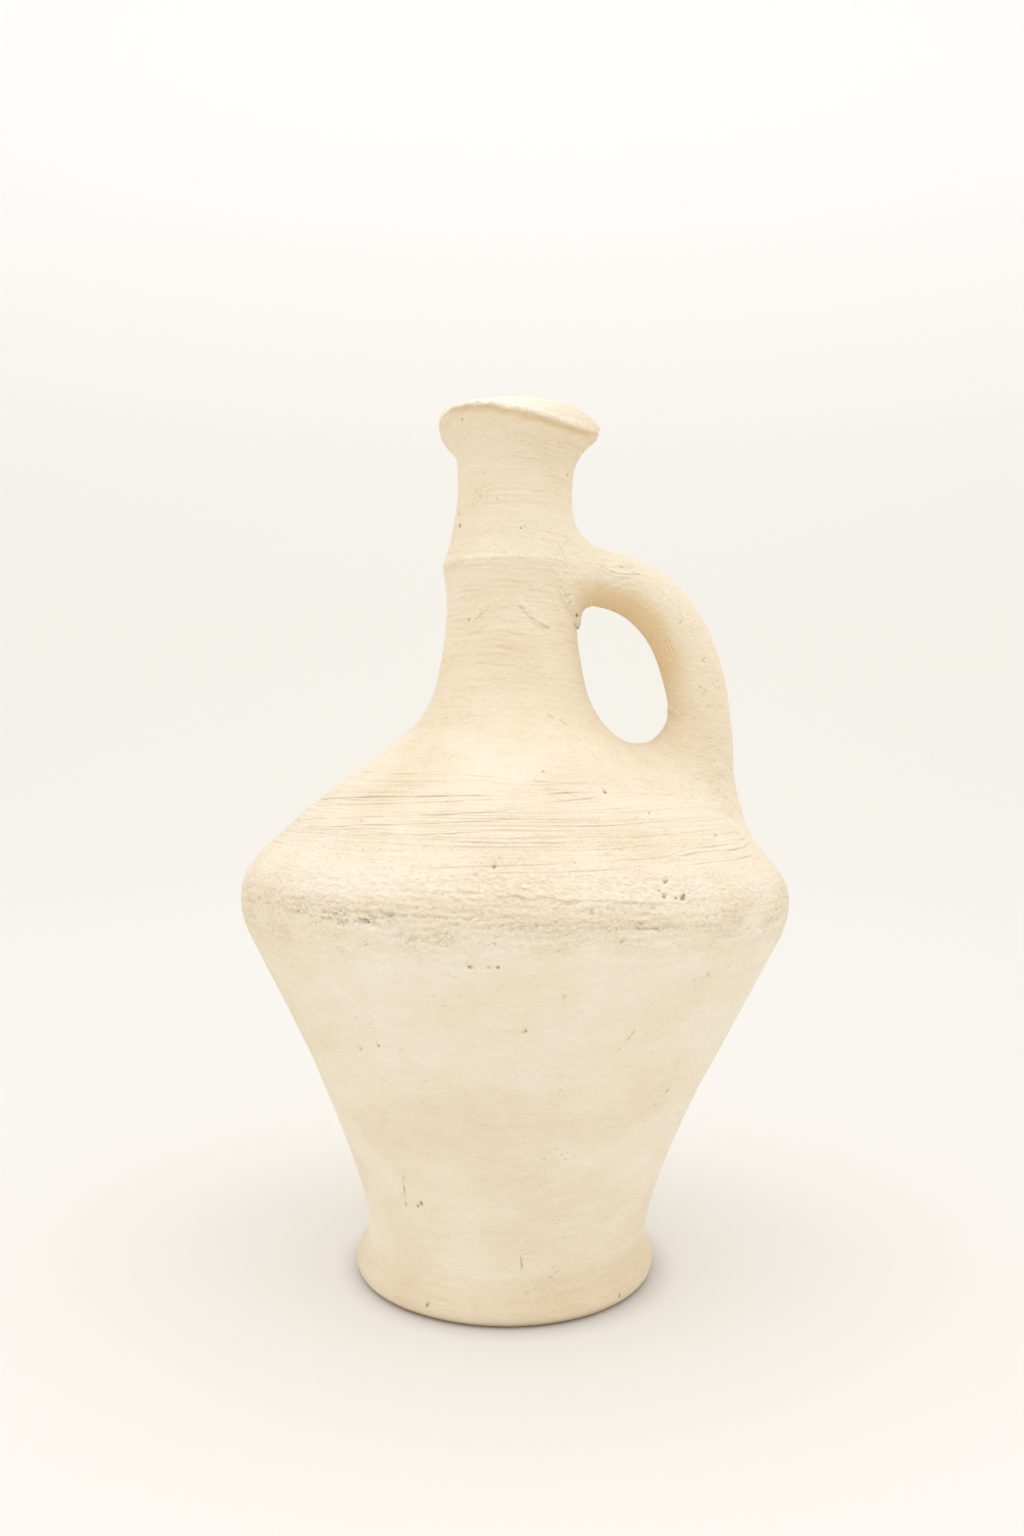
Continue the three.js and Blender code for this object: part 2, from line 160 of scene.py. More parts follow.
def cubic(t, a, b, c, d):
    """Points of a curve from a to d that b and c pull, and its unit directions."""
    back = 1 - t
    points = back ** 3 * a + 3 * back ** 2 * t * b + 3 * back * t ** 2 * c + t ** 3 * d
    along = back ** 2 * (b - a) + 2 * back * t * (c - b) + t ** 2 * (d - c)
    return points, unit(along)


def line_distance(points, knots):
    """Distance of points from a line through knots in space."""
    nearest = np.full(points.shape[:-1], np.inf)
    for first, last in zip(knots, knots[1:]):
        span = last - first
        share = within(((points - first) @ span) / span.dot(span))
        nearest = np.minimum(nearest, ((points - first - share[..., None] * span) ** 2).sum(-1))
    return np.sqrt(nearest)


def hollow(points, centre, radius):
    """A round hollow: 1 at its centre, and fading over its radius."""
    return np.exp(-((points - centre) ** 2).sum(-1) / radius ** 2)


def turn_from(azimuth, middle):
    """Degrees from a middle, the short way round."""
    return (np.degrees(azimuth) - middle + 180) % 360 - 180


def drift(height):
    heights, shifts = np.array(DRIFT, float).T
    after = np.clip(np.searchsorted(heights, height), 1, len(heights) - 1)
    share = (height - heights[after - 1]) / (heights[after] - heights[after - 1])
    return shifts[after - 1] + smooth(share) * (shifts[after] - shifts[after - 1])


def on_axis(azimuth, radius, height):
    """Places round the wandering axis, as three grids."""
    across = radius * np.sin(azimuth) + drift(height)
    ahead = -radius * np.cos(azimuth)
    return np.broadcast_arrays(across, ahead, np.asarray(height, float))


def points_on_axis(azimuth, radius, height):
    return np.stack(on_axis(azimuth, radius, height), axis=-1)


# Noise that clay relief is made of

LATTICE = 64


@functools.lru_cache(maxsize=None)
def lattice(seed):
    chance = np.random.default_rng(SEED + seed)
    return chance.uniform(-1, 1, (LATTICE,) * 3).astype(np.float32)


def noise(place, grain, seed):
    """Smooth noise from -1 to 1 at places in space; grain is its size in millimetres on each axis."""
    grains = grain if isinstance(grain, tuple) else (grain,) * 3
    cells = lattice(seed)
    lows, shares = [], []
    for axis, size in zip(place, grains):
        scaled = axis / size + LATTICE
        low = np.floor(scaled).astype(np.int32)
        part = (scaled - low).astype(np.float32)
        lows.append(low)
        shares.append(part ** 3 * (part * (part * 6 - 15) + 10))
    total = 0
    for corner in itertools.product((0, 1), repeat=3):
        weight = 1
        index = []
        for low, share, side in zip(lows, shares, corner):
            weight = weight * (share if side else 1 - share)
            index.append((low + side) % LATTICE)
        total = total + weight * cells[tuple(index)]
    return total


# Profile of the wall

def radians_of(station):
    return math.radians(station.lean)


def sunk(station, depth):
    lean = radians_of(station)
    return station._replace(
        radius=station.radius - depth * math.cos(lean),
        height=station.height + depth * math.sin(lean),
    )


def lining(station):
    return sunk(station, station.wall)


def heading(station):
    lean = radians_of(station)
    return np.array([math.sin(lean), math.cos(lean)])


def run(start, end, spacing, crowding=0.0):
    """One smooth run of wall as rows of radius, height and the unit direction along the wall.
    Crowding above 0 sets its rows closer together at the start."""
    first, last = np.array(start[:2], float), np.array(end[:2], float)
    reach = np.linalg.norm(last - first) / 3
    steps = max(1, math.ceil(3 * reach / spacing))
    even = np.linspace(0, 1, steps + 1)[:, None]
    t = (1 - crowding) * even + crowding * even ** 2
    return np.hstack(cubic(t, first, first + reach * heading(start), last - reach * heading(end), last))


def trace(stations, spacings, crowding=0.0):
    if not isinstance(spacings, (tuple, list)):
        spacings = [spacings] * (len(stations) - 1)
    rows = [run(stations[0], stations[1], spacings[0], crowding)]
    for start, end, spacing in zip(stations[1:], stations[2:], spacings[1:]):
        rows.append(run(start, end, spacing, crowding)[1:])
    return np.vstack(rows)


SKIN_STATIONS = (
    FOOT_EDGE, WAIST, FLARE, WALL_TOP, BELLY, CREST, BAND_TOP, ROOT, NECK_FOOT,
    COLLAR_LOW, COLLAR, COLLAR_HIGH, THROAT, TURN_OUT, LIP_CORNER,
)
SKIN = trace(SKIN_STATIONS, PROFILE_SPACING)
UPPER_SKIN = SKIN[SKIN[:, 1] >= BELLY.height]
UPPER_SKIN = UPPER_SKIN[UPPER_SKIN[:, 1] <= COLLAR_LOW.height]


def skin_radius(height):
    return np.interp(height, SKIN[:, 1], SKIN[:, 0])


def skin_climb(height):
    """Cosine of the wall's lean, which turns a rise into a length along the wall."""
    return np.interp(height, SKIN[:, 1], SKIN[:, 3])


def shoulder_height(radius):
    """Height of the skin between the belly and the neck, at a radius."""
    return np.interp(-np.asarray(radius, float), -UPPER_SKIN[:, 0], UPPER_SKIN[:, 1])


# Marks on the clay. Lines are drawn through (azimuth in degrees, height) places.

COMB_LOW = 198
COMB_HIGH = 238
COMB_WIDTH = 0.33
COMB_PRESS = 0.8  # how hard the comb was pressed
COMB_STROKES = (
    (0.34, ((-72, 236), (-14, 235.4), (14, 232.4), (42, 231))),
    (0.22, ((-45, 232), (-13, 233), (5, 230.5))),
    (0.48, ((-76, 223), (-32, 226), (-4, 227))),
    (0.42, ((-58, 221), (-25, 223.6), (-4, 225.3))),
    (0.55, ((4, 227), (13, 228.3), (27, 228.8))),
    (0.35, ((1, 223.4), (12, 225), (26, 226.8))),
    (0.28, ((30, 229.7), (38, 227.6), (57, 227))),
    (0.42, ((-70, 214), (-28, 218.2), (-1, 220.7))),
    (0.34, ((-63, 211), (-22, 215.4), (0, 217.6))),
    (0.32, ((-69, 209.5), (-43, 211.7), (-25, 213.7))),
    (0.28, ((-45, 209), (-16, 211.8), (1, 214.2))),
    (0.22, ((1, 214.6), (20, 215.4), (49, 217))),
    (0.22, ((5, 209.5), (28, 210.7), (60, 212.8))),
    (0.22, ((9, 205.8), (27, 207.3), (46, 210))),
    (0.48, ((33, 202.9), (42, 204.2), (71, 204.8))),
    (0.40, ((33, 199.2), (43, 200.3), (65, 201.2))),
    (0.38, ((25, 201.9), (40, 205.6), (74, 207.7))),
    (0.26, ((-22, 198.6), (-3, 200.7), (13, 201.8), (32, 203.3))),
    (0.26, ((-10, 197.5), (8, 198.7), (24, 199.7))),
)
COMB_BUNDLES = 170  # further strokes of a few teeth each, all round
COMB_TOOTH = 1.6  # rise from one tooth's line to the next
COMB_FADE = 7  # degrees over which a stroke fades out at its ends
LEDGE_FADE = 6

# The rough coil at the belly: where it starts and ends at the front, and where its crumbs start
ROUGH_FOOT = 168
ROUGH_TOP = 198
CRUMB_LINE = 185.5

# Heights up to which the foot gets a warm, dark painted shade, its edge more painted shade, and its
# very bottom a grey painted shade
FOOT_DARK_TOP = 24
FOOT_FADE = 14  # how far below that the foot is fully dark
FOOT_SHADE_TOP = 4
FOOT_STAIN_SHADE_TOP = 2.6

# Where the neck is most wrinkled, and where it is warmest
WRINKLE_HEIGHT = 297
WARM_NECK_HEIGHT = 298

# Edges where one layer of clay laps over another: how thick it is, and its places
LEDGES = (
    (0.22, ((-14, 192.2), (-4.4, 190.6), (5.3, 189.2), (19.7, 187.7), (28, 185.6))),
    (0.1, ((-3, 179), (6, 179.2), (16, 178.6), (36, 177.6), (50, 179))),
    (0.07, ((-60, 183), (-48, 184), (-38, 186.5), (-30, 189))),
    (0.26, ((70, 188), (95, 190), (120, 187))),
    (0.3, ((150, 190), (175, 187.5), (205, 190.5))),
    (0.24, ((228, 187), (250, 189.5), (275, 186))),
)

# Smeared leaves of clay: azimuth, height, half length, half width, slant in degrees, thickness
FLAPS = (
    (19, 310, 9, 2.4, -36, 0.42), (26, 305.5, 5, 1.6, -10, 0.3), (-29, 310.5, 5.5, 1.5, 62, 0.28),
    (-22, 313, 4, 1.2, 50, 0.2), (24, 263, 2.2, 0.7, -35, 0.35), (31, 260, 2, 0.7, -45, 0.3),
    (130, 312, 9, 2.6, 20, 0.4), (205, 300, 8, 2.2, -25, 0.35), (260, 318, 7, 2, 15, 0.3),
)

# Depth, width, how much dirt and painted shade darken it, and its places
CRACKS = (
    (0.35, 0.5, 0.12, ((33.5, 345), (35.5, 341), (36.5, 337), (36, 333))),
    (0.4, 0.6, 0.2, ((-43, 178.6), (-36, 177.8), (-31, 177.2), (-28, 178.4), (-24, 180), (-21, 182))),
    (0.3, 0.5, 0.3, ((-33, 176.4), (-29.5, 176.8), (-26.5, 178), (-25, 177.4))),
    (0.1, 0.7, 0.15, ((-60, 181), (-52, 180.6), (-44, 178.8))),
    (0.20, 0.7, 0.4, ((-22, 181), (-14, 181.8), (-8, 181))),
    (0.30, 0.6, 0.6, ((-1, 178.2), (5, 178.3))),
    (0.35, 0.6, 0.7, ((16, 178), (25, 177.1))),
    (0.25, 0.6, 0.55, ((32, 177.3), (35, 177.1))),
    (0.25, 0.5, 0.25, ((-12, 163.2), (-8, 162.6), (-4, 162.8))),
    (0.16, 0.5, 0.2, ((-36, 168), (-31.6, 163.2), (-22, 161.8), (-15, 162), (-3, 163))),
    (0.20, 0.5, 0.45, ((25.7, 134.3), (21.6, 122))),
    (0.25, 0.45, 0.85, ((-34, 72.5), (-36, 60.3), (-37.7, 47.6))),
    (0.25, 0.45, 0.8, ((-36.5, 48.2), (-33, 48.6), (-30.6, 50.4))),
    (0.25, 0.45, 0.8, ((4.7, 29.3), (5.3, 23.8))),
    (0.18, 0.5, 0.45, ((7.4, 13.7), (20.8, 14.9))),
    (0.20, 0.7, 0.05, ((-28, 313.3), (16, 309.5))),
    (0.20, 0.7, 0.05, ((-9, 293.8), (15, 290.7))),
    (0.20, 0.7, 0.05, ((-30, 300.6), (-4, 298.4))),
    (0.20, 0.8, 0.05, ((-24, 286.5), (6, 283.6))),
)

# Azimuth, height, radius
PITS = (
    (-4, 200.6, 0.7), (28.4, 194.3, 0.9), (27, 189.2, 0.9), (30.6, 188.1, 1.1), (10, 237.4, 0.6),
    (29.3, 188.4, 0.6), (26.4, 191.4, 0.45), (31.4, 189.5, 0.45), (28.8, 191.8, 0.4),
    (35.5, 220, 0.6), (53, 210, 0.7), (26.6, 228.8, 0.9), (-7.9, 162.8, 0.65), (-3, 163, 0.7),
    (2.2, 136.5, 0.8), (8.9, 151, 0.6), (51, 124.4, 0.7), (39.4, 155.3, 0.7), (44, 101.5, 0.7),
    (-31, 125, 0.7), (-36.7, 122, 0.6), (-34.5, 137, 0.6), (-33, 108.4, 0.7), (-30.6, 50.4, 0.8),
    (-27.8, 6.4, 0.8), (46.4, 5.1, 0.8), (6.7, 350.2, 0.5), (-35, 366, 0.5), (-16.4, 363.7, 0.45),
    (-38.5, 307.6, 0.6), (-49, 397.4, 0.6), (-23.5, 401.2, 0.5), (-26.4, 178.2, 0.5),
)
HIDDEN_PITS = 60  # more of them, on the sides and back

# Azimuth, height, half width in degrees, half height, strength
SMUDGES = (
    (-36, 180.5, 12, 3.2, 0.85), (-27, 178.4, 5, 2, 0.7), (-14, 174.2, 5, 2.2, 0.95),
    (21, 177.5, 9, 1.4, 0.5), (2, 177, 10, 3, 0.25), (62, 175, 12, 6, 0.3), (-66, 176, 8, 5, 0.25),
    (110, 178, 14, 4, 0.4), (160, 181, 20, 5, 0.35), (-150, 176, 14, 4, 0.45), (-105, 179, 12, 5, 0.3),
)

# The last two masks are painted highlight and painted shade that follow small slopes
MASKS = ("dirt_and_shade", "stain_and_shade", "rough", "warm", "pale_and_highlight", "combed", "painted_highlight", "painted_shade")


def blank_marks(shape):
    return {label: np.zeros(shape) for label in MASKS}


def clear_of(height, levels, below, above):
    """Whether rows of skin lie well under or over marks at these levels."""
    return height.max() < min(levels) - below or height.min() > max(levels) + above


def drawn_line(azimuth, knots, fade):
    """A line through knots: the turn of each azimuth, the line's height there, and how it fades out
    at its ends."""
    turns, heights = np.array(knots, float).T
    middle = turns.mean()
    turn = turn_from(azimuth, middle) + middle
    taper = smooth((turn - turns[0]) / fade) * smooth((turns[-1] - turn) / fade)
    return turn, np.interp(turn, turns, heights), taper


def line_noise(turn, grain, seed, shift=0.0):
    """Noise along a line that is drawn round the jug."""
    return noise((turn, 0 * turn, 0 * turn + shift), (grain, 1, 1), seed)


def comb_strokes():
    """The strokes that show at the front, and bundles of finer ones round the whole shoulder."""
    chance = np.random.default_rng(SEED)
    strokes = list(COMB_STROKES)
    for _ in range(COMB_BUNDLES):
        middle = chance.uniform(-180, 180)
        sweep = chance.uniform(16, 42)
        height = chance.uniform(COMB_LOW + 4, COMB_HIGH - 4)
        slope = chance.uniform(-0.01, 0.07)
        front = abs(middle) < 80
        depth = chance.uniform(0.05, 0.12) if front else chance.uniform(0.06, 0.24)
        for tooth in range(chance.integers(2, 6)):
            low = height + tooth * COMB_TOOTH - slope * sweep
            high = height + tooth * COMB_TOOTH + slope * sweep
            start = middle - sweep * chance.uniform(0.7, 1)
            stop = middle + sweep * chance.uniform(0.7, 1)
            strokes.append((depth * chance.uniform(0.6, 1), ((start, low), (stop, high))))
    return strokes


def comb(azimuth, height, place, depth, marks):
    if clear_of(height, (COMB_LOW, COMB_HIGH), 8, 8):
        return
    climb = skin_climb(height)
    waver = 0.35 * noise(place, (14, 14, 6), 11)
    for number, (deepest, knots) in enumerate(comb_strokes()):
        turn, line, taper = drawn_line(azimuth, knots, COMB_FADE)
        press = 0.72 + 0.45 * line_noise(turn, 5, 12, 3.7 * number)
        cut = COMB_PRESS * deepest * taper * press
        above = (height - line) / climb + waver
        groove = cut * bell(above, COMB_WIDTH)
        depth -= groove
        depth += 0.4 * cut * bell(above - 2.1 * COMB_WIDTH, 0.8 * COMB_WIDTH)
        # dirt and painted shade in the comb's groove
        marks["dirt_and_shade"] += 0.2 * groove
    edge = 4 * noise(place, (25, 25, 10), 13)
    zone = smooth((height - COMB_LOW - edge) / 8) * smooth((COMB_HIGH + edge - height) / 8)
    marks["combed"] += zone * within(0.65 + 0.55 * noise(place, (60, 60, 7), 14))


def crumble(azimuth, height, place, depth, marks):
    """The rough luting coil at the belly: rippled crumbs above, a worn and pitted strip below."""
    ragged = 3.0 * noise(place, 16, 21) + 1.6 * noise(place, 5, 22)
    sides = smooth((np.abs(np.degrees(azimuth)) - 30) / 40)
    top = ROUGH_TOP - 4 * sides + ragged
    foot = ROUGH_FOOT - 3 * sides + 1.5 * ragged
    zone = smooth((top - height) / 5 + 0.5) * smooth((height - foot) / 10 + 0.5)
    upper = smooth((height - CRUMB_LINE - 0.5 * ragged) / 4)
    slanted = (place[0], place[1], place[2] + 34 * np.sin(azimuth))
    ripples = noise(slanted, (5, 5, 1.2), 23)
    crumbs = np.maximum(noise(place, (1.5, 1.5, 1.0), 24) + 0.5 * noise(place, 0.9, 25) - 0.1, 0)
    strata = noise(place, (8, 8, 1.6), 26)
    scuffs = np.minimum(noise(place, (3, 3, 1.4), 27) + 0.5 * noise(place, 1.1, 28) + 0.25, 0)
    depth += zone * upper * (0.12 * ripples + 0.2 * crumbs)
    depth += zone * (1 - upper) * (0.09 * strata + 0.3 * scuffs)
    marks["rough"] += zone
    # chalky crumbs, with painted highlight on their tops
    marks["pale_and_highlight"] += 0.5 * zone * upper * within(crumbs * 1.6)
    # dirt and painted shade in the scuffed hollows
    marks["dirt_and_shade"] += 0.7 * zone * (1 - upper) * within(-scuffs - 0.28)
    worn = zone * (1 - upper) * within(0.6 + noise(place, (12, 12, 4), 97))
    marks["stain_and_shade"] += 0.2 * worn
    marks["warm"] += 0.28 * worn


def ledge_marks(azimuth, height, depth):
    climb = skin_climb(height)
    for thickness, knots in LEDGES:
        if clear_of(height, [level for turn, level in knots], 4, 40):
            continue
        turn, line, taper = drawn_line(azimuth, knots, LEDGE_FADE)
        ragged = 0.5 * line_noise(turn, 2.5, 29) + 0.5 * line_noise(turn, 0.9, 30)
        above = (height - line) / climb + ragged
        depth += thickness * taper * smooth(above / 0.6 + 0.5) * np.exp(-np.maximum(above, 0) / 7)


def lip_front(azimuth):
    """1 where the lip's edge is torn and undercut, 0 where it was left blunt."""
    return smooth((80 - np.abs(np.degrees(azimuth) - 12)) / 45)


def flap_marks(azimuth, height, place, depth):
    """Thin leaves of clay that a thumb smeared on."""
    edge = 0.35 * noise(place, 3, 90) + 0.2 * noise(place, 1.3, 91)
    for middle, level, half_length, half_width, slant, thickness in FLAPS:
        across = (azimuth - math.radians(middle)) * skin_radius(level)
        up = height - level
        turn = math.radians(slant)
        along = across * math.cos(turn) + up * math.sin(turn)
        aside = up * math.cos(turn) - across * math.sin(turn)
        outside = (along / half_length) ** 2 + (aside / half_width) ** 2
        depth += thickness * smooth((1 - outside + edge) / 0.45)


def neck_marks(azimuth, height, place, depth, marks):
    """Wrinkles of the wet hand, the collar's crumbly crest, and the lip's torn corner."""
    inclined = (place[0], place[1], place[2] + 4 * np.sin(azimuth))
    patches = within(0.5 + 0.8 * noise(place, 17, 61))
    above_root = smooth((height - ROOT.height - 6) / 14)
    drawn = 0.35 + 0.65 * bell(height - WRINKLE_HEIGHT, 20)
    wrinkles = 0.16 * drawn * noise(inclined, (7, 7, 1.3), 62) + 0.05 * noise(place, 2.4, 63)
    depth += above_root * (patches * wrinkles + (0.02 + 0.03 * patches) * noise(place, 1.2, 64))
    flap_marks(azimuth, height, place, depth)
    warmth = within(0.4 + noise(place, (22, 22, 9), 92))
    marks["warm"] += 0.3 * bell(height - WARM_NECK_HEIGHT, 15) * warmth
    crest = height - COLLAR.height - 1.2 + 0.8 * noise(place, 7, 65)
    depth += 0.2 * bell(crest, 1.8) * (0.8 + 0.7 * noise(place, 2.6, 66)) - 0.22 * bell(crest + 6, 4)
    marks["pale_and_highlight"] += 0.35 * bell(crest - 1.2, 1.5) * within(0.5 + noise(place, (3, 3, 1.5), 70))
    corner = height - LIP_CORNER.height
    open_side = lip_front(azimuth)
    torn = np.maximum(noise(place, 3.6, 67) + 0.5 * noise(place, 1.3, 68) + 0.2, 0)
    depth += bell(corner - 0.2, 1.0) * (0.2 + 0.9 * torn) * (0.25 + 0.75 * open_side)
    depth -= 1.2 * open_side * (0.7 + 0.5 * noise(place, 6, 94)) * bell(corner + 3.2, 1.6)
    # painted warm shade under the lip's overhang
    marks["warm"] += (0.2 + 0.65 * open_side) * bell(corner + 2.8, 2.0)
    flaky = within(0.5 + noise(place, (6, 6, 3), 99))
    marks["pale_and_highlight"] += 0.8 * open_side * flaky * bell(corner + 0.3, 0.9)
    marks["rough"] += 0.7 * smooth((corner + 0.5) / 0.8)
    # painted highlight on the lip's top face, with painted warm shade on its right side
    facing_right = smooth((np.degrees(azimuth) + 10) / 60) * smooth((150 - np.degrees(azimuth)) / 40)
    marks["pale_and_highlight"] += (0.85 - 0.6 * facing_right) * smooth((corner + 0.3) / 0.6)
    marks["warm"] += 0.3 * facing_right * smooth((corner - 1.0) / 1.5)


def spot(azimuth, height):
    turn = math.radians(azimuth)
    return np.array(on_axis(turn, skin_radius(height), height)).ravel()


def crack_marks(height, place, depth, marks):
    points = np.stack(place, axis=-1)
    for deepest, width, dirt_and_shade, knots in CRACKS:
        if clear_of(height, [level for turn, level in knots], 6, 6):
            continue
        away = line_distance(points, [spot(*knot) for knot in knots]) + 0.3 * noise(place, 2.2, 31)
        gap = bell(away, width) * smooth(0.75 + 0.9 * noise(place, 3.5, 32))
        depth -= deepest * gap
        # dirt and painted shade in the crack
        marks["dirt_and_shade"] += dirt_and_shade * gap


def pit_places():
    chance = np.random.default_rng(SEED + 1)
    places = list(PITS)
    for _ in range(HIDDEN_PITS):
        azimuth = chance.uniform(58, 302)
        places.append((azimuth, chance.uniform(15, 395), chance.uniform(0.5, 0.9)))
    return places


def pit_marks(height, place, depth, marks):
    points = np.stack(place, axis=-1)
    ragged = np.maximum(1 + 1.1 * noise(place, 1.1, 33), 0.25)
    for azimuth, level, radius in pit_places():
        if clear_of(height, (level,), 5, 5):
            continue
        hole = hollow(points, spot(azimuth, level), radius) ** ragged
        depth -= 0.9 * radius * hole
        # dirt and painted shade in the pit
        marks["dirt_and_shade"] += 0.85 * hole


def smudge_marks(azimuth, height, place, depth, marks):
    """Dirty patches, crumbled away by the wear that dirtied them."""
    cloud = 0.55 + 0.75 * noise(place, (6, 6, 2.4), 41) + 0.4 * noise(place, 2.0, 42)
    crumbs = within(0.25 + noise(place, (2.4, 2.4, 1.5), 43) + 0.5 * noise(place, 1.3, 44))
    for middle, level, half_width, half_height, strength in SMUDGES:
        patch = bell(turn_from(azimuth, middle), half_width) * bell(height - level, half_height)
        marks["stain_and_shade"] += strength * patch * within(cloud)
        depth -= 0.7 * strength * patch * crumbs


def relief(azimuth, radius, height):
    """How far the marked skin stands off the smooth one, and the masks of its colour, painted shade
    among them.
    """
    place = on_axis(azimuth, radius, height)
    depth = 0.5 * noise(place, 62, 1) + 0.22 * noise(place, 24, 2) + 0.08 * noise(place, 9, 3)
    wiped = 0.5 + 0.5 * noise(place, (40, 40, 22), 4)
    depth = depth + wiped * 0.11 * noise(place, (30, 30, 1.5), 5)
    depth = depth + 0.05 * noise(place, (15, 15, 0.9), 6) + 0.03 * noise(place, 1.6, 7)
    marks = blank_marks(depth.shape)
    comb(azimuth, height, place, depth, marks)
    if BELLY.height - 30 < height.max() and height.min() < CREST.height + 20:
        crumble(azimuth, height, place, depth, marks)
        smudge_marks(azimuth, height, place, depth, marks)
    if height.max() > ROOT.height:
        neck_marks(azimuth, height, place, depth, marks)
    # painted shade: the foot is warmer and darker towards its bottom, darkest at its edge and grey at
    # the very bottom
    low = smooth((FOOT_DARK_TOP - height) / FOOT_FADE)
    marks["warm"] += 0.36 * low * (0.8 + 0.4 * noise(place, 14, 96))
    marks["painted_shade"] += 0.22 * low + 0.75 * smooth((FOOT_SHADE_TOP - height) / 3.5)
    marks["stain_and_shade"] += 0.45 * smooth((FOOT_STAIN_SHADE_TOP - height) / 2.4)
    ledge_marks(azimuth, height, depth)
    crack_marks(height, place, depth, marks)
    pit_marks(height, place, depth, marks)
    return depth, marks


# Meshes

def turned_out(points, quads, triangles):
    """The same faces, all turned outwards."""
    flat = np.vstack([quads[:, [0, 1, 2]], quads[:, [0, 2, 3]], triangles])
    a, b, c = (points[flat[:, corner]] for corner in range(3))
    if np.einsum("ij,ij->", a, np.cross(b, c)) > 0:
        return quads, triangles, False
    return quads[:, ::-1], triangles[:, ::-1], True


def grid_piece(name, grid, marks, capped):
    """A closed piece from rows of points that each go round it. The rows close on themselves,
    or end in caps. One chart lays its rows out side by side."""
    rows, columns = grid.shape[:2]
    points = grid.reshape(-1, 3)
    last = rows - 1 if capped else rows
    row, column = np.meshgrid(np.arange(last), np.arange(columns), indexing="ij")
    row, column = row.ravel(), column.ravel()
    above, beside = (row + 1) % rows, (column + 1) % columns
    corners = [(row, column), (row, beside), (above, beside), (above, column)]
    quads = np.stack([r * columns + c for r, c in corners], axis=1)
    lengths = np.linalg.norm(np.diff(np.vstack([grid, grid[:1]]), axis=0), axis=2).mean(1)[:last]
    margin = 0.03 if capped else 0.0
    ladder = margin + (1 - 2 * margin) * np.concatenate([[0], np.cumsum(lengths)]) / lengths.sum()
    left, right = column / columns, (column + 1) / columns
    low, high = ladder[row], ladder[row + 1]
    quad_chart = np.stack([left, low, right, low, right, high, left, high], axis=1).reshape(-1, 4, 2)
    triangles = np.zeros((0, 3), int)
    triangle_chart = np.zeros((0, 3, 2))
    if capped:
        points = np.vstack([points, grid[0].mean(0), grid[-1].mean(0)])
        here, beside = np.arange(columns), (np.arange(columns) + 1) % columns
        bottom = np.full(columns, rows * columns)
        top_row = (rows - 1) * columns
        foot = np.stack([bottom, beside, here], axis=1)
        head = np.stack([bottom + 1, top_row + here, top_row + beside], axis=1)
        triangles = np.vstack([foot, head])
        left, right = here / columns, (here + 1) / columns
        middle = (left + right) / 2
        zero, one = np.zeros(columns), np.ones(columns)
        foot_chart = np.stack([middle, zero, right, zero + margin, left, zero + margin], axis=1)
        head_chart = np.stack([middle, one, left, one - margin, right, one - margin], axis=1)
        triangle_chart = np.vstack([foot_chart, head_chart]).reshape(-1, 3, 2)
    quads, triangles, flipped = turned_out(points, quads, triangles)
    if flipped:
        quad_chart, triangle_chart = quad_chart[:, ::-1], triangle_chart[:, ::-1]
    mesh = bpy.data.meshes.new(name)
    mesh.vertices.add(len(points))
    mesh.vertices.foreach_set("co", (points * MILLIMETRE).ravel())
    loops = np.concatenate([quads.ravel(), triangles.ravel()])
    mesh.loops.add(len(loops))
    mesh.loops.foreach_set("vertex_index", loops)
    starts = np.concatenate([np.arange(len(quads)) * 4, quads.size + np.arange(len(triangles)) * 3])
    mesh.polygons.add(len(starts))
    mesh.polygons.foreach_set("loop_start", starts)
    chart = mesh.uv_layers.new(name="OFBake")
    chart.uv.foreach_set("vector", np.concatenate([quad_chart.ravel(), triangle_chart.ravel()]))
    for label in MASKS:
        values = np.zeros(len(points))
        if label in marks:
            mask = within(marks[label]).ravel()
            values[: len(mask)] = mask
        mesh.attributes.new(label, "FLOAT", "POINT").data.foreach_set("value", values)
    mesh.update(calc_edges=True)
    mesh.validate()
    mesh.shade_smooth()
    mesh.set_sharp_from_angle(angle=math.radians(SHARP_EDGE))
    piece = bpy.data.objects.new(name, mesh)
    bpy.context.collection.objects.link(piece)
    return piece


def place_piece(grid, marks, node, slot_name, capped=False):
    piece = grid_piece(node + "_fired", grid, marks, capped)
    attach(piece, "root")
    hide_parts(node)
    piece.data.materials.append(CLAYS[slot_name])


def grid_facing(points):
    """Outward directions of a grid whose columns go round it."""
    across = np.roll(points, -1, axis=1) - np.roll(points, 1, axis=1)
    facing = np.cross(across, np.gradient(points, axis=0))
    facing = facing / np.maximum(np.linalg.norm(facing, axis=-1, keepdims=True), 1e-9)
    outwards = (facing * (points - points.mean(1, keepdims=True))).sum(-1).mean()
    return facing * np.sign(outwards)


def slope_marks(marked, plain, marks):
    """Painted highlight on what the marks turn upwards, and painted shade where they turn it down."""
    tilt = SLOPE_GAIN * (grid_facing(marked) - grid_facing(plain))[..., 2]
    marks["painted_highlight"] += within(tilt)
    marks["painted_shade"] += within(-tilt)


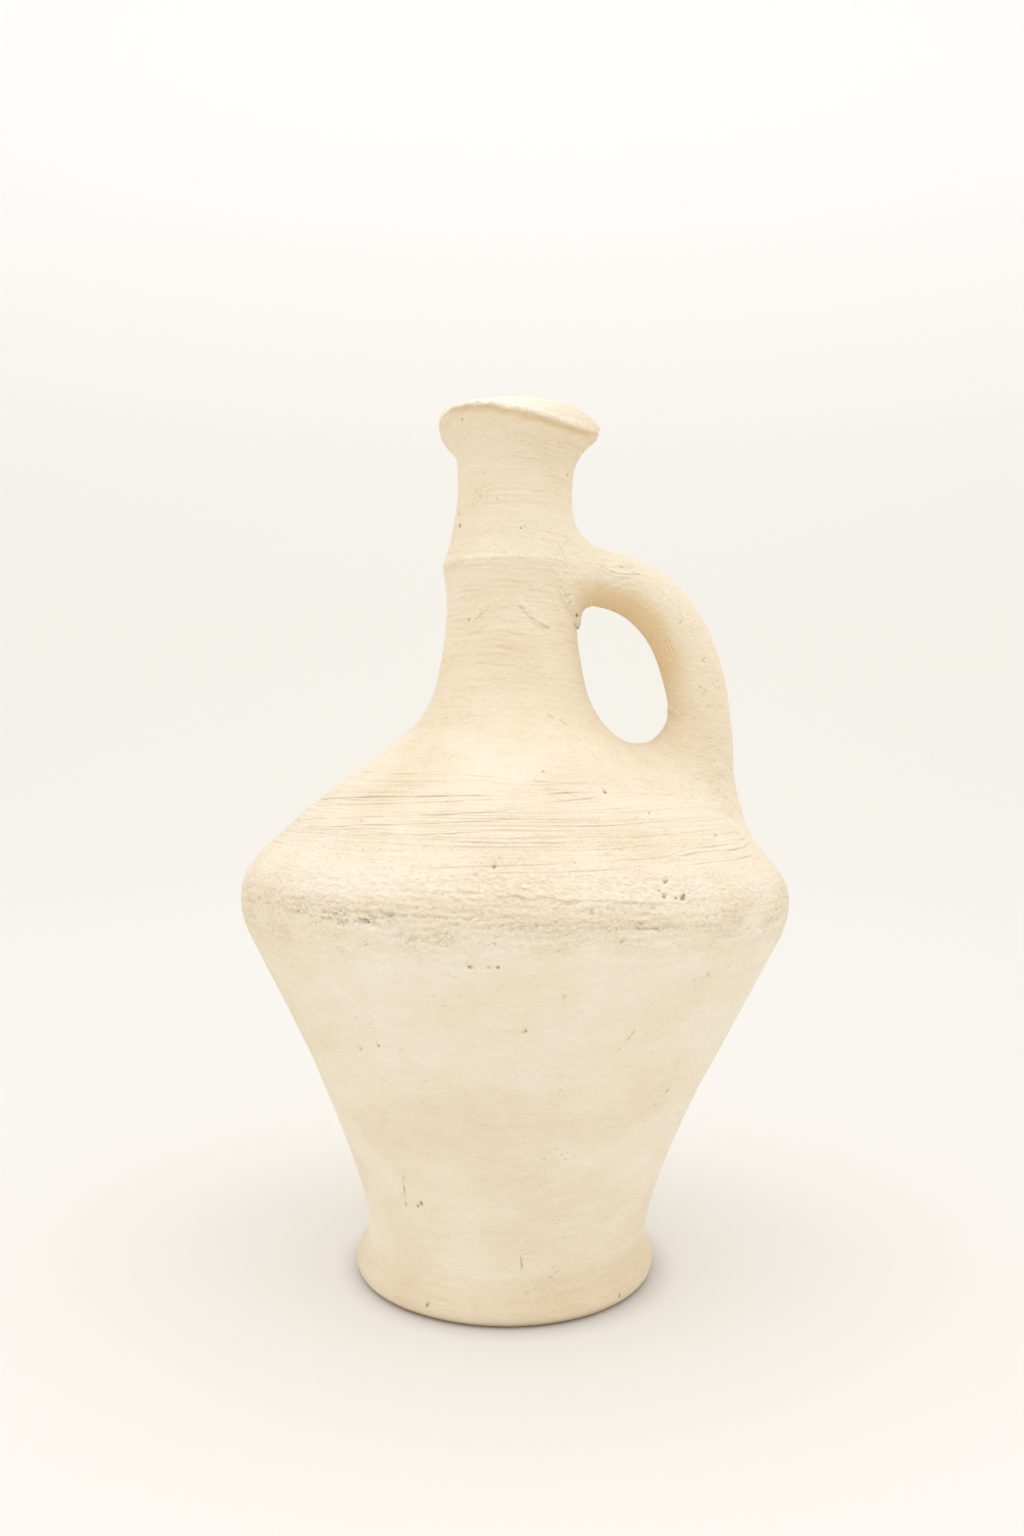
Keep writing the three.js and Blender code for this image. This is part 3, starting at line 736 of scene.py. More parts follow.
def bent(azimuth, ring, rise, height):
    """Bends what was turned true: the collar sags on one side, and the lip's corner is warped, torn
    and here and there blunt."""
    sag = COLLAR_SAG * (1 + np.cos(azimuth - math.radians(COLLAR_SAG_TURN))) / 2
    rise = rise - sag * bell(height - COLLAR.height, 14)
    lift = LIP_WARP * np.cos(2 * (azimuth - math.radians(LIP_WARP_TURN)))
    lift = lift + LIP_TILT * np.cos(azimuth - math.radians(LIP_TILT_TURN))
    top = lining(LIP_CORNER).height
    corner = height - LIP_CORNER.height
    growing = smooth((height - THROAT.height) / (LIP_CORNER.height - THROAT.height))
    fading = within((top - height) / (top - LIP_CORNER.height))
    place = on_axis(azimuth, ring, height)
    notches = 0.75 * noise(place, 5, 69) + 0.2 * noise(place, 2.1, 98) - 0.3
    blunt = (1 - lip_front(azimuth)) * (2.1 * bell(corner, 1.7) - 0.9 * bell(corner, 6))
    return ring - blunt, rise + growing * fading * lift + notches * bell(corner, 1.2)


def marked_skin(path, azimuth):
    """The skin over rows of a profile, with every mark on it."""
    radius, height, out, up = (path[:, [column]] for column in range(4))
    depth, marks = relief(azimuth, radius, height)
    depth = depth * smooth(height / 3)
    ring, rise = bent(azimuth, radius + depth * up, height - depth * out, height)
    marked = points_on_axis(azimuth, ring, rise)
    ring, rise = bent(azimuth, radius + 0 * depth, height + 0 * depth, height)
    # painted highlight and painted shade from the slopes that the marks make
    slope_marks(marked, points_on_axis(azimuth, ring, rise), marks)
    return marked, marks


def hidden_side(path, azimuth):
    """The lining and the seats: coil ridges left by fingers, and no fine marks."""
    radius, height = path[:, 0:1], path[:, 1:2]
    place = on_axis(azimuth, radius, height)
    ridges = 0.5 * np.sin(height / 2.6 + 1.5 * noise(place, 30, 51)) + 0.4 * noise(place, 18, 52)
    inner = smooth((skin_radius(np.clip(height, RIDGES_LOW, RIDGES_HIGH)) - radius - 4) / 2)
    ring = radius + ridges * inner * smooth((height - RIDGES_LOW) / 10)
    ring, rise = bent(azimuth, ring, height + 0 * ring, height)
    return points_on_axis(azimuth, ring, rise)


def turned_piece(name, skin, inside, slot_name, columns):
    even = np.linspace(-np.pi, np.pi, columns, endpoint=False)[None, :]
    azimuth = even - FRONT_CROWDING * np.sin(even)
    outer, marks = marked_skin(skin, azimuth)
    inner = hidden_side(inside, azimuth)
    place_piece(np.concatenate([outer, inner]), marks, name, slot_name)


def reversed_trace(stations, spacing):
    return trace(stations, spacing)[::-1]


# Clay. Each group gives colours, masks or heights that several of the clays share.

PALE_CLAY = (0.86, 0.765, 0.62, 1)
YELLOW_CLAY = (0.83, 0.73, 0.565, 1)
WARM_CLAY = (0.785, 0.66, 0.485, 1)
BODY_PALE = (0.87, 0.785, 0.645, 1)
BODY_WARM = (0.80, 0.685, 0.515, 1)
FLOOR_PALE = (0.70, 0.59, 0.43, 1)
FLOOR_WARM = (0.62, 0.50, 0.34, 1)
# dark dirt colour, also used as painted shade in hollows
DIRT_AND_SHADE_COLOR = (0.24, 0.185, 0.11, 1)
# grey stain colour, also painted shade at the foot's bottom edge
STAIN_AND_SHADE_COLOR = (0.43, 0.375, 0.25, 1)
# chalky colour, also used as painted highlight
PALE_AND_HIGHLIGHT_COLOR = (0.93, 0.87, 0.755, 1)
# warm brown colour, also used as painted warm shade
TAN = (0.72, 0.525, 0.255, 1)

# What is left of a colour under painted shade, in wipe streaks, in comb lines and on crumbly clay
PAINTED_SHADE_COLOR = (0.72, 0.62, 0.48, 1)
WIPED = (0.82, 0.74, 0.62, 1)
# colour of the comb lines: dirt and painted shade
COMB_DIRT_AND_SHADE = (0.80, 0.71, 0.58, 1)
DULLED = (0.86, 0.83, 0.79, 1)

CLAY_GLOSS = {
    "Specular IOR Level": 0.25,
    "Sheen Weight": 0.08,
    "Sheen Roughness": 0.6,
    "Sheen Tint": (1.0, 0.96, 0.88, 1),
}
GRIT_STEP = 0.45 * MILLIMETRE  # how far above a place its grit is compared with
GRIT_SLOPE = 0.22  # the difference that counts as steep
COLOR, VALUE = "NodeSocketColor", "NodeSocketFloat"
MIX_INPUTS = (0, 6, 7)  # sockets of a colour mix: the share and the two colours
MIX_RESULT = 2


def new_node(tree, kind, settings=None, values=None):
    node = tree.nodes.new(kind)
    for key, value in (settings or {}).items():
        setattr(node, key, value)
    for key, value in (values or {}).items():
        node.inputs[key].default_value = value
    return node


def new_group(name, inputs, outputs):
    """An empty group: the colours that it takes, with defaults, and the kinds of what it gives."""
    tree = bpy.data.node_groups.new(name, "ShaderNodeTree")
    for label, color in inputs.items():
        socket = tree.interface.new_socket(label, in_out="INPUT", socket_type=COLOR)
        socket.default_value = color
    for label, kind in outputs.items():
        tree.interface.new_socket(label, in_out="OUTPUT", socket_type=kind)
    return tree


def given(tree, label):
    return tree.nodes.new("NodeGroupInput").outputs[label]


def give_out(tree, **values):
    result = tree.nodes.new("NodeGroupOutput")
    for label, value in values.items():
        tree.links.new(value, result.inputs[label])
    return tree


def feed(tree, socket, value):
    """Sets a socket to a number or colour, or links it to another socket."""
    if isinstance(value, (int, float, tuple)):
        socket.default_value = value
    else:
        tree.links.new(value, socket)


def math_node(tree, operation, first, second):
    node = new_node(tree, "ShaderNodeMath", {"operation": operation})
    feed(tree, node.inputs[0], first)
    feed(tree, node.inputs[1], second)
    return node.outputs[0]


def times(tree, first, second):
    return math_node(tree, "MULTIPLY", first, second)


def plus(tree, first, second):
    return math_node(tree, "ADD", first, second)


def minus(tree, first, second):
    return math_node(tree, "SUBTRACT", first, second)


def mixed(tree, share, first, second, blend="MIX"):
    node = new_node(tree, "ShaderNodeMix", {"data_type": "RGBA", "blend_type": blend})
    for number, value in zip(MIX_INPUTS, (share, first, second)):
        feed(tree, node.inputs[number], value)
    return node.outputs[MIX_RESULT]


def remapped(tree, value, low, high, to_low=0.0, to_high=1.0):
    limits = {"From Min": low, "From Max": high, "To Min": to_low, "To Max": to_high}
    node = new_node(tree, "ShaderNodeMapRange", {"interpolation_type": "SMOOTHSTEP"}, limits)
    tree.links.new(value, node.inputs["Value"])
    return node.outputs["Result"]


def read_mask(tree, label):
    return new_node(tree, "ShaderNodeAttribute", {"attribute_name": label}).outputs["Fac"]


def clay_noise(tree, stretch, detail, roughness=0.55, above=0.0):
    """Noise fixed to the clay; stretch is waves per metre along each axis. It can be read a little
    above the place itself, in metres."""
    coordinates = new_node(tree, "ShaderNodeTexCoord")
    shift = (0, 0, above * stretch[2])
    mapping = new_node(tree, "ShaderNodeMapping", values={"Scale": stretch, "Location": shift})
    waves = {"Scale": 1.0, "Detail": detail, "Roughness": roughness}
    texture = new_node(tree, "ShaderNodeTexNoise", values=waves)
    tree.links.new(coordinates.outputs["Object"], mapping.inputs["Vector"])
    tree.links.new(mapping.outputs["Vector"], texture.inputs["Vector"])
    return texture.outputs["Fac"]


def mottle_group():
    """Broad drifts of paler and warmer clay, with chalky bloom between them."""
    colors = {"Pale": PALE_CLAY, "Warm": WARM_CLAY}
    tree = new_group("clay_mottle", colors, {"Color": COLOR, "Bloom": VALUE})
    drifts = remapped(tree, clay_noise(tree, (15, 15, 22), 4), 0.36, 0.66)
    spots = remapped(tree, clay_noise(tree, (85, 85, 110), 5, 0.65), 0.35, 0.7)
    share = plus(tree, times(tree, drifts, 0.7), times(tree, spots, 0.3))
    color = mixed(tree, share, given(tree, "Pale"), given(tree, "Warm"))
    bloom = remapped(tree, clay_noise(tree, (110, 110, 420), 4, 0.7), 0.52, 0.78)
    return give_out(tree, Color=color, Bloom=bloom)


def streak_group():
    """Fine level streaks left by a wet rag."""
    tree = new_group("wipe_streaks", {}, {"Shade": VALUE, "Height": VALUE})
    broad = clay_noise(tree, (26, 26, 620), 3)
    fine = clay_noise(tree, (60, 60, 1900), 2)
    height = plus(tree, times(tree, broad, 0.65), times(tree, fine, 0.35))
    return give_out(tree, Shade=remapped(tree, height, 0.3, 0.7), Height=height)


def grit_height(tree, above):
    """Height of the clay's grit, its lumps and the chips that lie on it here and there."""
    grit = clay_noise(tree, (800, 800, 950), 3, 0.6, above)
    lumps = clay_noise(tree, (260, 260, 380), 3, 0.6, above)
    chips = remapped(tree, clay_noise(tree, (520, 520, 760), 3, 0.65, above), 0.58, 0.68)
    strewn = remapped(tree, clay_noise(tree, (60, 60, 80), 3, 0.6), 0.56, 0.68)
    loose = times(tree, times(tree, chips, strewn), 0.5)
    ground = plus(tree, times(tree, grit, 0.55), times(tree, lumps, 0.6))
    return plus(tree, loose, ground)


def grain_group():
    """The clay's own grit: its height, and which of its slopes face up or down, for painted highlight
    and painted shade.
    """
    tree = new_group("clay_grain", {}, {"Height": VALUE, "Upper": VALUE, "Under": VALUE})
    height = grit_height(tree, 0.0)
    slope = minus(tree, height, grit_height(tree, GRIT_STEP))
    upper = remapped(tree, slope, 0.0, GRIT_SLOPE)
    under = remapped(tree, slope, -GRIT_SLOPE, 0.0, 1.0, 0.0)
    return give_out(tree, Height=height, Upper=upper, Under=under)


def comb_group():
    """Fine lines of a toothed tool, where the clay was combed; the colour darkens along them with dirt
    and painted shade.
    """
    tree = new_group("comb_lines", {}, {"Lines": VALUE})
    fine = remapped(tree, clay_noise(tree, (10, 10, 1150), 2), 0.52, 0.60)
    broad = remapped(tree, clay_noise(tree, (8, 8, 620), 2), 0.56, 0.62)
    both = math_node(tree, "MAXIMUM", fine, broad)
    return give_out(tree, Lines=times(tree, both, read_mask(tree, "combed")))


def dirt_and_shade_group():
    """What lies on the clay, with the light painted on it: dirt and painted shade in pits, cracks and
    grooves, grey stains with painted shade at the foot's edge, chalky crumbs with painted highlight,
    warm tone with painted warm shade, and painted highlight and shade on small slopes.
    """
    tree = new_group("dirt_stains_and_painted_light", {"Clay": PALE_CLAY}, {"Color": COLOR, "Rough": VALUE})
    rough, dirt_and_shade = read_mask(tree, "rough"), read_mask(tree, "dirt_and_shade")
    # warm tone, and painted warm shade under the lip, on the foot and where the handle faces its hole
    tanned = mixed(tree, times(tree, read_mask(tree, "warm"), 0.55), given(tree, "Clay"), TAN)
    crumbs = remapped(tree, clay_noise(tree, (420, 420, 620), 4, 0.7), 0.38, 0.62)
    loose = times(tree, rough, crumbs)
    # chalky crumbs, and painted highlight on the lip's top face and on crumb tops
    pale_and_highlight_share = math_node(tree, "MAXIMUM", times(tree, loose, 0.15), read_mask(tree, "pale_and_highlight"))
    paled_and_highlit = mixed(tree, pale_and_highlight_share, tanned, PALE_AND_HIGHLIGHT_COLOR)
    dusk = times(tree, minus(tree, rough, loose), 0.35)
    dusty = mixed(tree, dusk, paled_and_highlit, DULLED, "MULTIPLY")
    breaks = remapped(tree, clay_noise(tree, (700, 700, 1100), 4, 0.65), 0.42, 0.62)
    # grey stains, and painted shade at the foot's bottom edge
    stain_and_shade_mixed = mixed(tree, times(tree, read_mask(tree, "stain_and_shade"), breaks), dusty, STAIN_AND_SHADE_COLOR)
    # painted highlight on small up-facing slopes, painted shade on down-facing ones
    painted_highlight = mixed(tree, times(tree, read_mask(tree, "painted_highlight"), 0.6), stain_and_shade_mixed, PALE_AND_HIGHLIGHT_COLOR)
    painted_shade = mixed(tree, read_mask(tree, "painted_shade"), painted_highlight, PAINTED_SHADE_COLOR, "MULTIPLY")
    # dirt and painted shade, broken up, and the clay's dark specks
    ragged = minus(tree, clay_noise(tree, (1150, 1150, 1500), 3, 0.65), 0.5)
    patchy = remapped(tree, plus(tree, dirt_and_shade, times(tree, ragged, 1.7)), 0.12, 0.5)
    crisp = times(tree, patchy, math_node(tree, "MINIMUM", dirt_and_shade, 0.75))
    clusters = remapped(tree, clay_noise(tree, (38, 38, 44), 3, 0.6), 0.53, 0.64)
    flecks = remapped(tree, clay_noise(tree, (620, 620, 900), 3, 0.6), 0.61, 0.67)
    specks = times(tree, times(tree, clusters, flecks), 0.32)
    speckled_and_darkened = mixed(tree, math_node(tree, "MAXIMUM", crisp, specks), painted_shade, DIRT_AND_SHADE_COLOR)
    return give_out(tree, Color=speckled_and_darkened, Rough=rough)


GROUPS = (mottle_group(), streak_group(), grain_group(), comb_group(), dirt_and_shade_group())


def clay(name, pale, warm, streaks, grit, tooth):
    """One clay finish. Streaks and grit are the heights of its relief in millimetres, tooth is how
    strong the painted highlight and painted shade on the grit's slopes are."""
    material = bpy.data.materials.new(name)
    material.use_nodes = True
    tree = material.node_tree
    skin = tree.nodes["Principled BSDF"]
    mottle, streak, grain, combed, dirt_and_shade = (
        new_node(tree, "ShaderNodeGroup", {"node_tree": group}) for group in GROUPS
    )
    mottle.inputs["Pale"].default_value = pale
    mottle.inputs["Warm"].default_value = warm
    bloom, lines = mottle.outputs["Bloom"], combed.outputs["Lines"]
    streaky = times(tree, streak.outputs["Shade"], 0.07)
    wiped = mixed(tree, streaky, mottle.outputs["Color"], WIPED, "MULTIPLY")
    bloomed = mixed(tree, times(tree, bloom, 0.12), wiped, PALE_AND_HIGHLIGHT_COLOR)
    # comb lines darken the colour: dirt and painted shade in the grooves
    lined = mixed(tree, times(tree, lines, 0.22), bloomed, COMB_DIRT_AND_SHADE, "MULTIPLY")
    # painted highlight on the grit's up-facing slopes, painted shade on its down-facing ones
    grit_highlight = mixed(tree, times(tree, grain.outputs["Upper"], tooth), lined, PALE_AND_HIGHLIGHT_COLOR)
    grit_highlight_and_shade = mixed(tree, times(tree, grain.outputs["Under"], tooth), grit_highlight, PAINTED_SHADE_COLOR, "MULTIPLY")
    tree.links.new(grit_highlight_and_shade, dirt_and_shade.inputs["Clay"])
    tree.links.new(dirt_and_shade.outputs["Color"], skin.inputs["Base Color"])
    tree.links.new(remapped(tree, bloom, 0, 1, 0.86, 0.97), skin.inputs["Roughness"])
    for label, value in CLAY_GLOSS.items():
        skin.inputs[label].default_value = value
    coarse = plus(tree, times(tree, dirt_and_shade.outputs["Rough"], grit), grit)
    gritty = times(tree, grain.outputs["Height"], coarse)
    streaked = times(tree, streak.outputs["Height"], streaks)
    height = minus(tree, plus(tree, gritty, streaked), times(tree, lines, 0.18))
    bump = new_node(tree, "ShaderNodeBump", values={"Strength": 1.0, "Distance": MILLIMETRE})
    tree.links.new(height, bump.inputs["Height"])
    tree.links.new(bump.outputs["Normal"], skin.inputs["Normal"])
    return material


# Paler and warmer colour, streaks, grit, and tooth: the strength of the grit's painted highlight and
# shade
FINISHES = {
    "floor_clay": (FLOOR_PALE, FLOOR_WARM, 0.04, 0.3, 1.2),
    "body_clay": (BODY_PALE, BODY_WARM, 0.14, 0.2, 0.312),
    "band_clay": (PALE_CLAY, WARM_CLAY, 0.14, 0.2, 0.6),
    "shoulder_clay": (PALE_CLAY, WARM_CLAY, 0.14, 0.2, 0.384),
    "neck_clay": (YELLOW_CLAY, WARM_CLAY, 0.10, 0.25, 0.336),
    "lip_clay": (YELLOW_CLAY, WARM_CLAY, 0.10, 0.25, 0.384),
    "handle_clay": (YELLOW_CLAY, WARM_CLAY, 0.05, 0.25, 0.408),
}
CLAYS = {name: clay(name, *finish) for name, finish in FINISHES.items()}


# Foot

def floor_disc():
    """The floor slab, dusty underneath."""
    top_radius = WAIST.radius - WAIST.wall - SLIP
    low_radius = top_radius - FLOOR_BEVEL
    thickness = FLOOR_TOP - FLOOR_RECESS
    rings = [(radius, FLOOR_RECESS) for radius in np.linspace(FLOOR_EYE, low_radius, FLOOR_RINGS)]
    rings += [(low_radius + up * FLOOR_BEVEL, FLOOR_RECESS + up * thickness) for up in (0.3, 0.7)]
    rings += [(radius, FLOOR_TOP) for radius in np.linspace(top_radius, FLOOR_EYE, FLOOR_RINGS)]
    radius, height = np.array(rings).T[:, :, None]
    azimuth = np.linspace(-np.pi, np.pi, FLOOR_COLUMNS, endpoint=False)[None, :]
    place = on_axis(azimuth, radius, height)
    dents = 0.25 * noise(place, 22, 61) + 0.15 * noise(place, 6, 62) + 0.1 * noise(place, 2.2, 63)
    rise = height + dents * smooth((low_radius - radius) / 3)
    marks = {
        "rough": 0.6 + 0.4 * noise(place, 15, 64),
        "dirt_and_shade": 0.12 + 0.25 * within(noise(place, 9, 65)),
    }
    place_piece(points_on_axis(azimuth, radius, rise), marks, "base_disc", "floor_clay", capped=True)


def foot_ring():
    inside = lining(WAIST)
    flat_start = Station(inside.radius - FLOOR_BEVEL, 0, 90, 0)
    flat_end = Station(FOOT_EDGE.radius - FOOT_ROLL, 0, 90, 0)
    flat = trace([flat_start, flat_end], FOOT_FLAT_SPACING)
    turns = np.linspace(-np.pi / 2, 0, FOOT_ROLL_ROWS)[1:-1]
    roll = np.stack([
        flat_end.radius + FOOT_ROLL * np.cos(turns),
        FOOT_ROLL + FOOT_ROLL * np.sin(turns),
        -np.sin(turns),
        np.cos(turns),
    ], axis=1)
    skin = np.vstack([flat, roll, trace([FOOT_EDGE, WAIST], FOOT_SPACING)])
    hidden = np.array([
        [inside.radius, inside.height, 0, -1],
        [inside.radius, FLOOR_TOP, 0, -1],
        [inside.radius - FLOOR_BEVEL, FLOOR_RECESS, 0, -1],
    ])
    turned_piece("foot_ring", skin, hidden, "body_clay", BODY_COLUMNS)


# Body

def lower_wall():
    skin = trace([WAIST, FLARE, WALL_TOP, BELLY], WALL_SPACINGS)
    seat = [sunk(BELLY, BAND_EDGE + SLIP), sunk(CREST, BAND_DEPTH + SLIP)]
    seat = trace(seat, WALL_SEAT_SPACING)
    inside = [lining(s) for s in (WAIST, FLARE, WALL_TOP, BELLY, CREST)]
    inside = reversed_trace(inside, WALL_LINING_SPACING)
    turned_piece("lower_wall", skin, np.vstack([seat, inside]), "body_clay", BODY_COLUMNS)


def belly_band():
    skin = trace([BELLY, CREST, BAND_TOP], BAND_SPACING)
    under = [sunk(BELLY, BAND_EDGE), sunk(CREST, BAND_DEPTH), sunk(BAND_TOP, BAND_EDGE)]
    under = reversed_trace(under, BAND_SEAT_SPACING)
    turned_piece("belly_band", skin, under, "band_clay", BODY_COLUMNS)


def shoulder():
    skin = trace([BAND_TOP, ROOT], SHOULDER_SPACING, SHOULDER_CROWDING)
    inside = [lining(s) for s in (CREST, BAND_TOP, ROOT)]
    inside = reversed_trace(inside, SHOULDER_LINING_SPACING)
    seat = [sunk(CREST, BAND_DEPTH + SLIP), sunk(BAND_TOP, BAND_EDGE + SLIP)]
    seat = trace(seat, BAND_SEAT_SPACING)
    turned_piece("shoulder", skin, np.vstack([inside, seat]), "shoulder_clay", NECK_COLUMNS)


# Neck

def neck_root():
    skin = trace([ROOT, NECK_FOOT], NECK_SPACING)
    inside = reversed_trace([lining(ROOT), lining(NECK_FOOT)], ROOT_LINING_SPACING)
    turned_piece("neck_root", skin, inside, "neck_clay", NECK_COLUMNS)


def lower_neck():
    skin = trace([NECK_FOOT, COLLAR_LOW], NECK_SPACING)
    seat = [sunk(COLLAR_LOW, COLLAR_EDGE + SLIP), sunk(COLLAR, COLLAR_DEPTH + SLIP)]
    seat = trace(seat, COLLAR_SEAT_SPACING)
    inside = [lining(s) for s in (NECK_FOOT, COLLAR_LOW, COLLAR)]
    inside = reversed_trace(inside, NECK_LINING_SPACING)
    turned_piece("lower_neck", skin, np.vstack([seat, inside]), "neck_clay", NECK_COLUMNS)


def neck_collar():
    skin = trace([COLLAR_LOW, COLLAR, COLLAR_HIGH], COLLAR_SPACING)
    depths = (COLLAR_EDGE, COLLAR_DEPTH, COLLAR_EDGE)
    under = [sunk(s, depth) for s, depth in zip((COLLAR_LOW, COLLAR, COLLAR_HIGH), depths)]
    under = reversed_trace(under, COLLAR_SEAT_SPACING)
    turned_piece("neck_collar", skin, under, "neck_clay", NECK_COLUMNS)


def upper_neck():
    skin = trace([COLLAR_HIGH, THROAT], NECK_SPACING)
    inside = [lining(s) for s in (COLLAR, COLLAR_HIGH, THROAT)]
    inside = reversed_trace(inside, NECK_LINING_SPACING)
    seat = [sunk(COLLAR, COLLAR_DEPTH + SLIP), sunk(COLLAR_HIGH, COLLAR_EDGE + SLIP)]
    seat = trace(seat, COLLAR_SEAT_SPACING)
    turned_piece("upper_neck", skin, np.vstack([inside, seat]), "neck_clay", NECK_COLUMNS)


def lip():
    flare = trace([THROAT, TURN_OUT, LIP_CORNER], LIP_SPACINGS)
    inner = lining(LIP_CORNER)
    middle = np.array(sunk(LIP_CORNER, LIP_CORNER.wall / 2)[:2])
    first, last = np.array(LIP_CORNER[:2]), np.array(inner[:2])
    swell = middle + 2 * LIP_BULGE * heading(LIP_CORNER)
    t = np.linspace(0, 1, LIP_FACE_ROWS)[1:, None]
    face = (1 - t) ** 2 * first + 2 * t * (1 - t) * swell + t ** 2 * last
    along = unit((1 - t) * (swell - first) + t * (last - swell))
    skin = np.vstack([flare, np.hstack([face, along])])
    inside = reversed_trace([lining(THROAT), lining(TURN_OUT), inner], LIP_LINING_SPACING)[1:]
    turned_piece("lip", skin, inside, "lip_clay", NECK_COLUMNS)


# Handle

ARCH = np.array([
    (skin_radius(ARCH_HEIGHT) - HANDLE_EMBED, ARCH_HEIGHT),
    (skin_radius(ARCH_HEIGHT) + ARCH_CROWN_REACH, ARCH_HEIGHT + ARCH_CROWN_LIFT),
    (ARCH_SEAT_RADIUS + ARCH_BACK_BULGE, shoulder_height(ARCH_SEAT_RADIUS) + ARCH_BACK_RISE),
    (ARCH_SEAT_RADIUS, shoulder_height(ARCH_SEAT_RADIUS) - HANDLE_EMBED),
])


def arch_curve(t):
    return cubic(np.asarray(t, float)[..., None], *ARCH)


ARCH_STEPS = np.linspace(0, 1, 801)
ARCH_SPANS = np.linalg.norm(np.diff(arch_curve(ARCH_STEPS)[0], axis=0), axis=1)
ARCH_LENGTHS = np.concatenate([[0], np.cumsum(ARCH_SPANS)])


def on_handle(share, angle):
    """The handle's marked skin at shares of the arch and angles round it: 90 degrees is its back,
    180 degrees the side that faces the front."""
    share, angle = np.broadcast_arrays(np.asarray(share, float), np.asarray(angle, float))
    centre, along = arch_curve(np.interp(share * ARCH_LENGTHS[-1], ARCH_LENGTHS, ARCH_STEPS))
    half_width = HANDLE_WIDTH / 2
    half_depth = (HANDLE_NECK_THICKNESS + share * (HANDLE_SEAT_THICKNESS - HANDLE_NECK_THICKNESS)) / 2
    outward = np.stack([-along[..., 1], 0 * share, along[..., 0]], axis=-1)
    aside = np.array([0.0, 1.0, 0.0])
    depth, width = half_depth * np.sin(angle), half_width * np.cos(angle)
    base = np.stack([centre[..., 0], 0 * share, centre[..., 1]], axis=-1)
    base = base + depth[..., None] * outward + width[..., None] * aside
    to_back, to_side = np.sin(angle) / half_depth, np.cos(angle) / half_width
    facing = unit(to_back[..., None] * outward + to_side[..., None] * aside)
    place = axes_of(base)
    lumps = 0.55 * noise(place, 26, 71) + 0.25 * noise(place, 11, 72) + 0.05 * noise(place, 3.5, 73)
    pulled = 0.06 * noise((share * 60, 9 * np.cos(angle), 9 * np.sin(angle)), (9, 0.8, 0.8), 74)
    return base + (lumps + pulled)[..., None] * facing


def above_skin(points):
    """How far points stand outside the vessel's skin, measured level."""
    x, y, z = axes_of(points)
    return np.hypot(x - drift(z), y) - skin_radius(z)


def entry_shares(angle, depth):
    """Shares of the arch between which each line of the handle is outside the vessel."""
    shares = np.linspace(0, 1, 401)[:, None]
    buried = above_skin(on_handle(shares, angle[None, :])) < -depth
    upper = buried & (shares < 0.4)
    lower = buried & (shares > 0.6)
    start = np.where(upper.any(0), shares[::-1][np.argmax(upper[::-1], axis=0), 0], 0)
    stop = np.where(lower.any(0), shares[np.argmax(lower, axis=0), 0], 1)
    return start, stop


# Share of the arch, angle, radius
HANDLE_PITS = (
    (0.52, 165, 0.5), (0.515, 160, 0.4), (0.525, 162, 0.35), (0.60, 182, 0.5),
    (0.61, 176, 0.45), (0.605, 170, 0.4), (0.62, 178, 0.4), (0.615, 173, 0.35),
    (0.66, 174, 0.4), (0.30, 40, 0.6), (0.55, 20, 0.6), (0.45, 95, 0.5),
)
# Depth, width, and (share, angle) places of the tears in the handle's smeared skin
HANDLE_TEARS = (
    (0.32, 0.4, ((0.075, 164), (0.10, 174), (0.13, 178), (0.165, 173), (0.20, 162))),
    (0.22, 0.35, ((0.13, 160), (0.16, 161), (0.185, 154))),
    (0.25, 0.5, ((0.37, 217), (0.43, 222), (0.50, 221))),
    (0.2, 0.45, ((0.41, 213), (0.47, 214))),
    (0.5, 0.6, ((0.30, 20), (0.36, 28), (0.42, 24))),
)


def handle_marks(points, facing, marks):
    """Tears and pits in the skin of the handle and of the clay smeared over its ends."""
    place = axes_of(points)
    depth = np.zeros(points.shape[:-1])
    for deepest, width, knots in HANDLE_TEARS:
        line = [on_handle(share, math.radians(turn)) for share, turn in knots]
        away = line_distance(points, line) + 0.35 * noise(place, 2.0, 76)
        broken = smooth(0.75 + 0.8 * noise(place, 2.6, 79))
        depth += broken * (0.3 * deepest * bell(away - 2 * width, width) - deepest * bell(away, width))
        # dirt and painted shade in the tear
        marks["dirt_and_shade"] += 0.12 * bell(away, 0.7 * width)
    flaked = hollow(points, on_handle(0.14, math.radians(160)), 9)
    depth += 0.35 * flaked * noise(place, (4, 4, 1.5), 80) + 0.06 * noise(place, 1.3, 93)
    marks["pale_and_highlight"] += 0.2 * flaked * within(0.4 + noise(place, (4, 4, 2), 80))
    for share, turn, radius in HANDLE_PITS:
        hole = hollow(points, on_handle(share, math.radians(turn)), radius)
        depth -= 0.8 * radius * hole
        # dirt and painted shade in the pit
        marks["dirt_and_shade"] += 0.7 * hole
    marked = points + depth[..., None] * facing
    # painted highlight and painted shade from the slopes of the tears and pits
    slope_marks(marked, points, marks)
    return marked


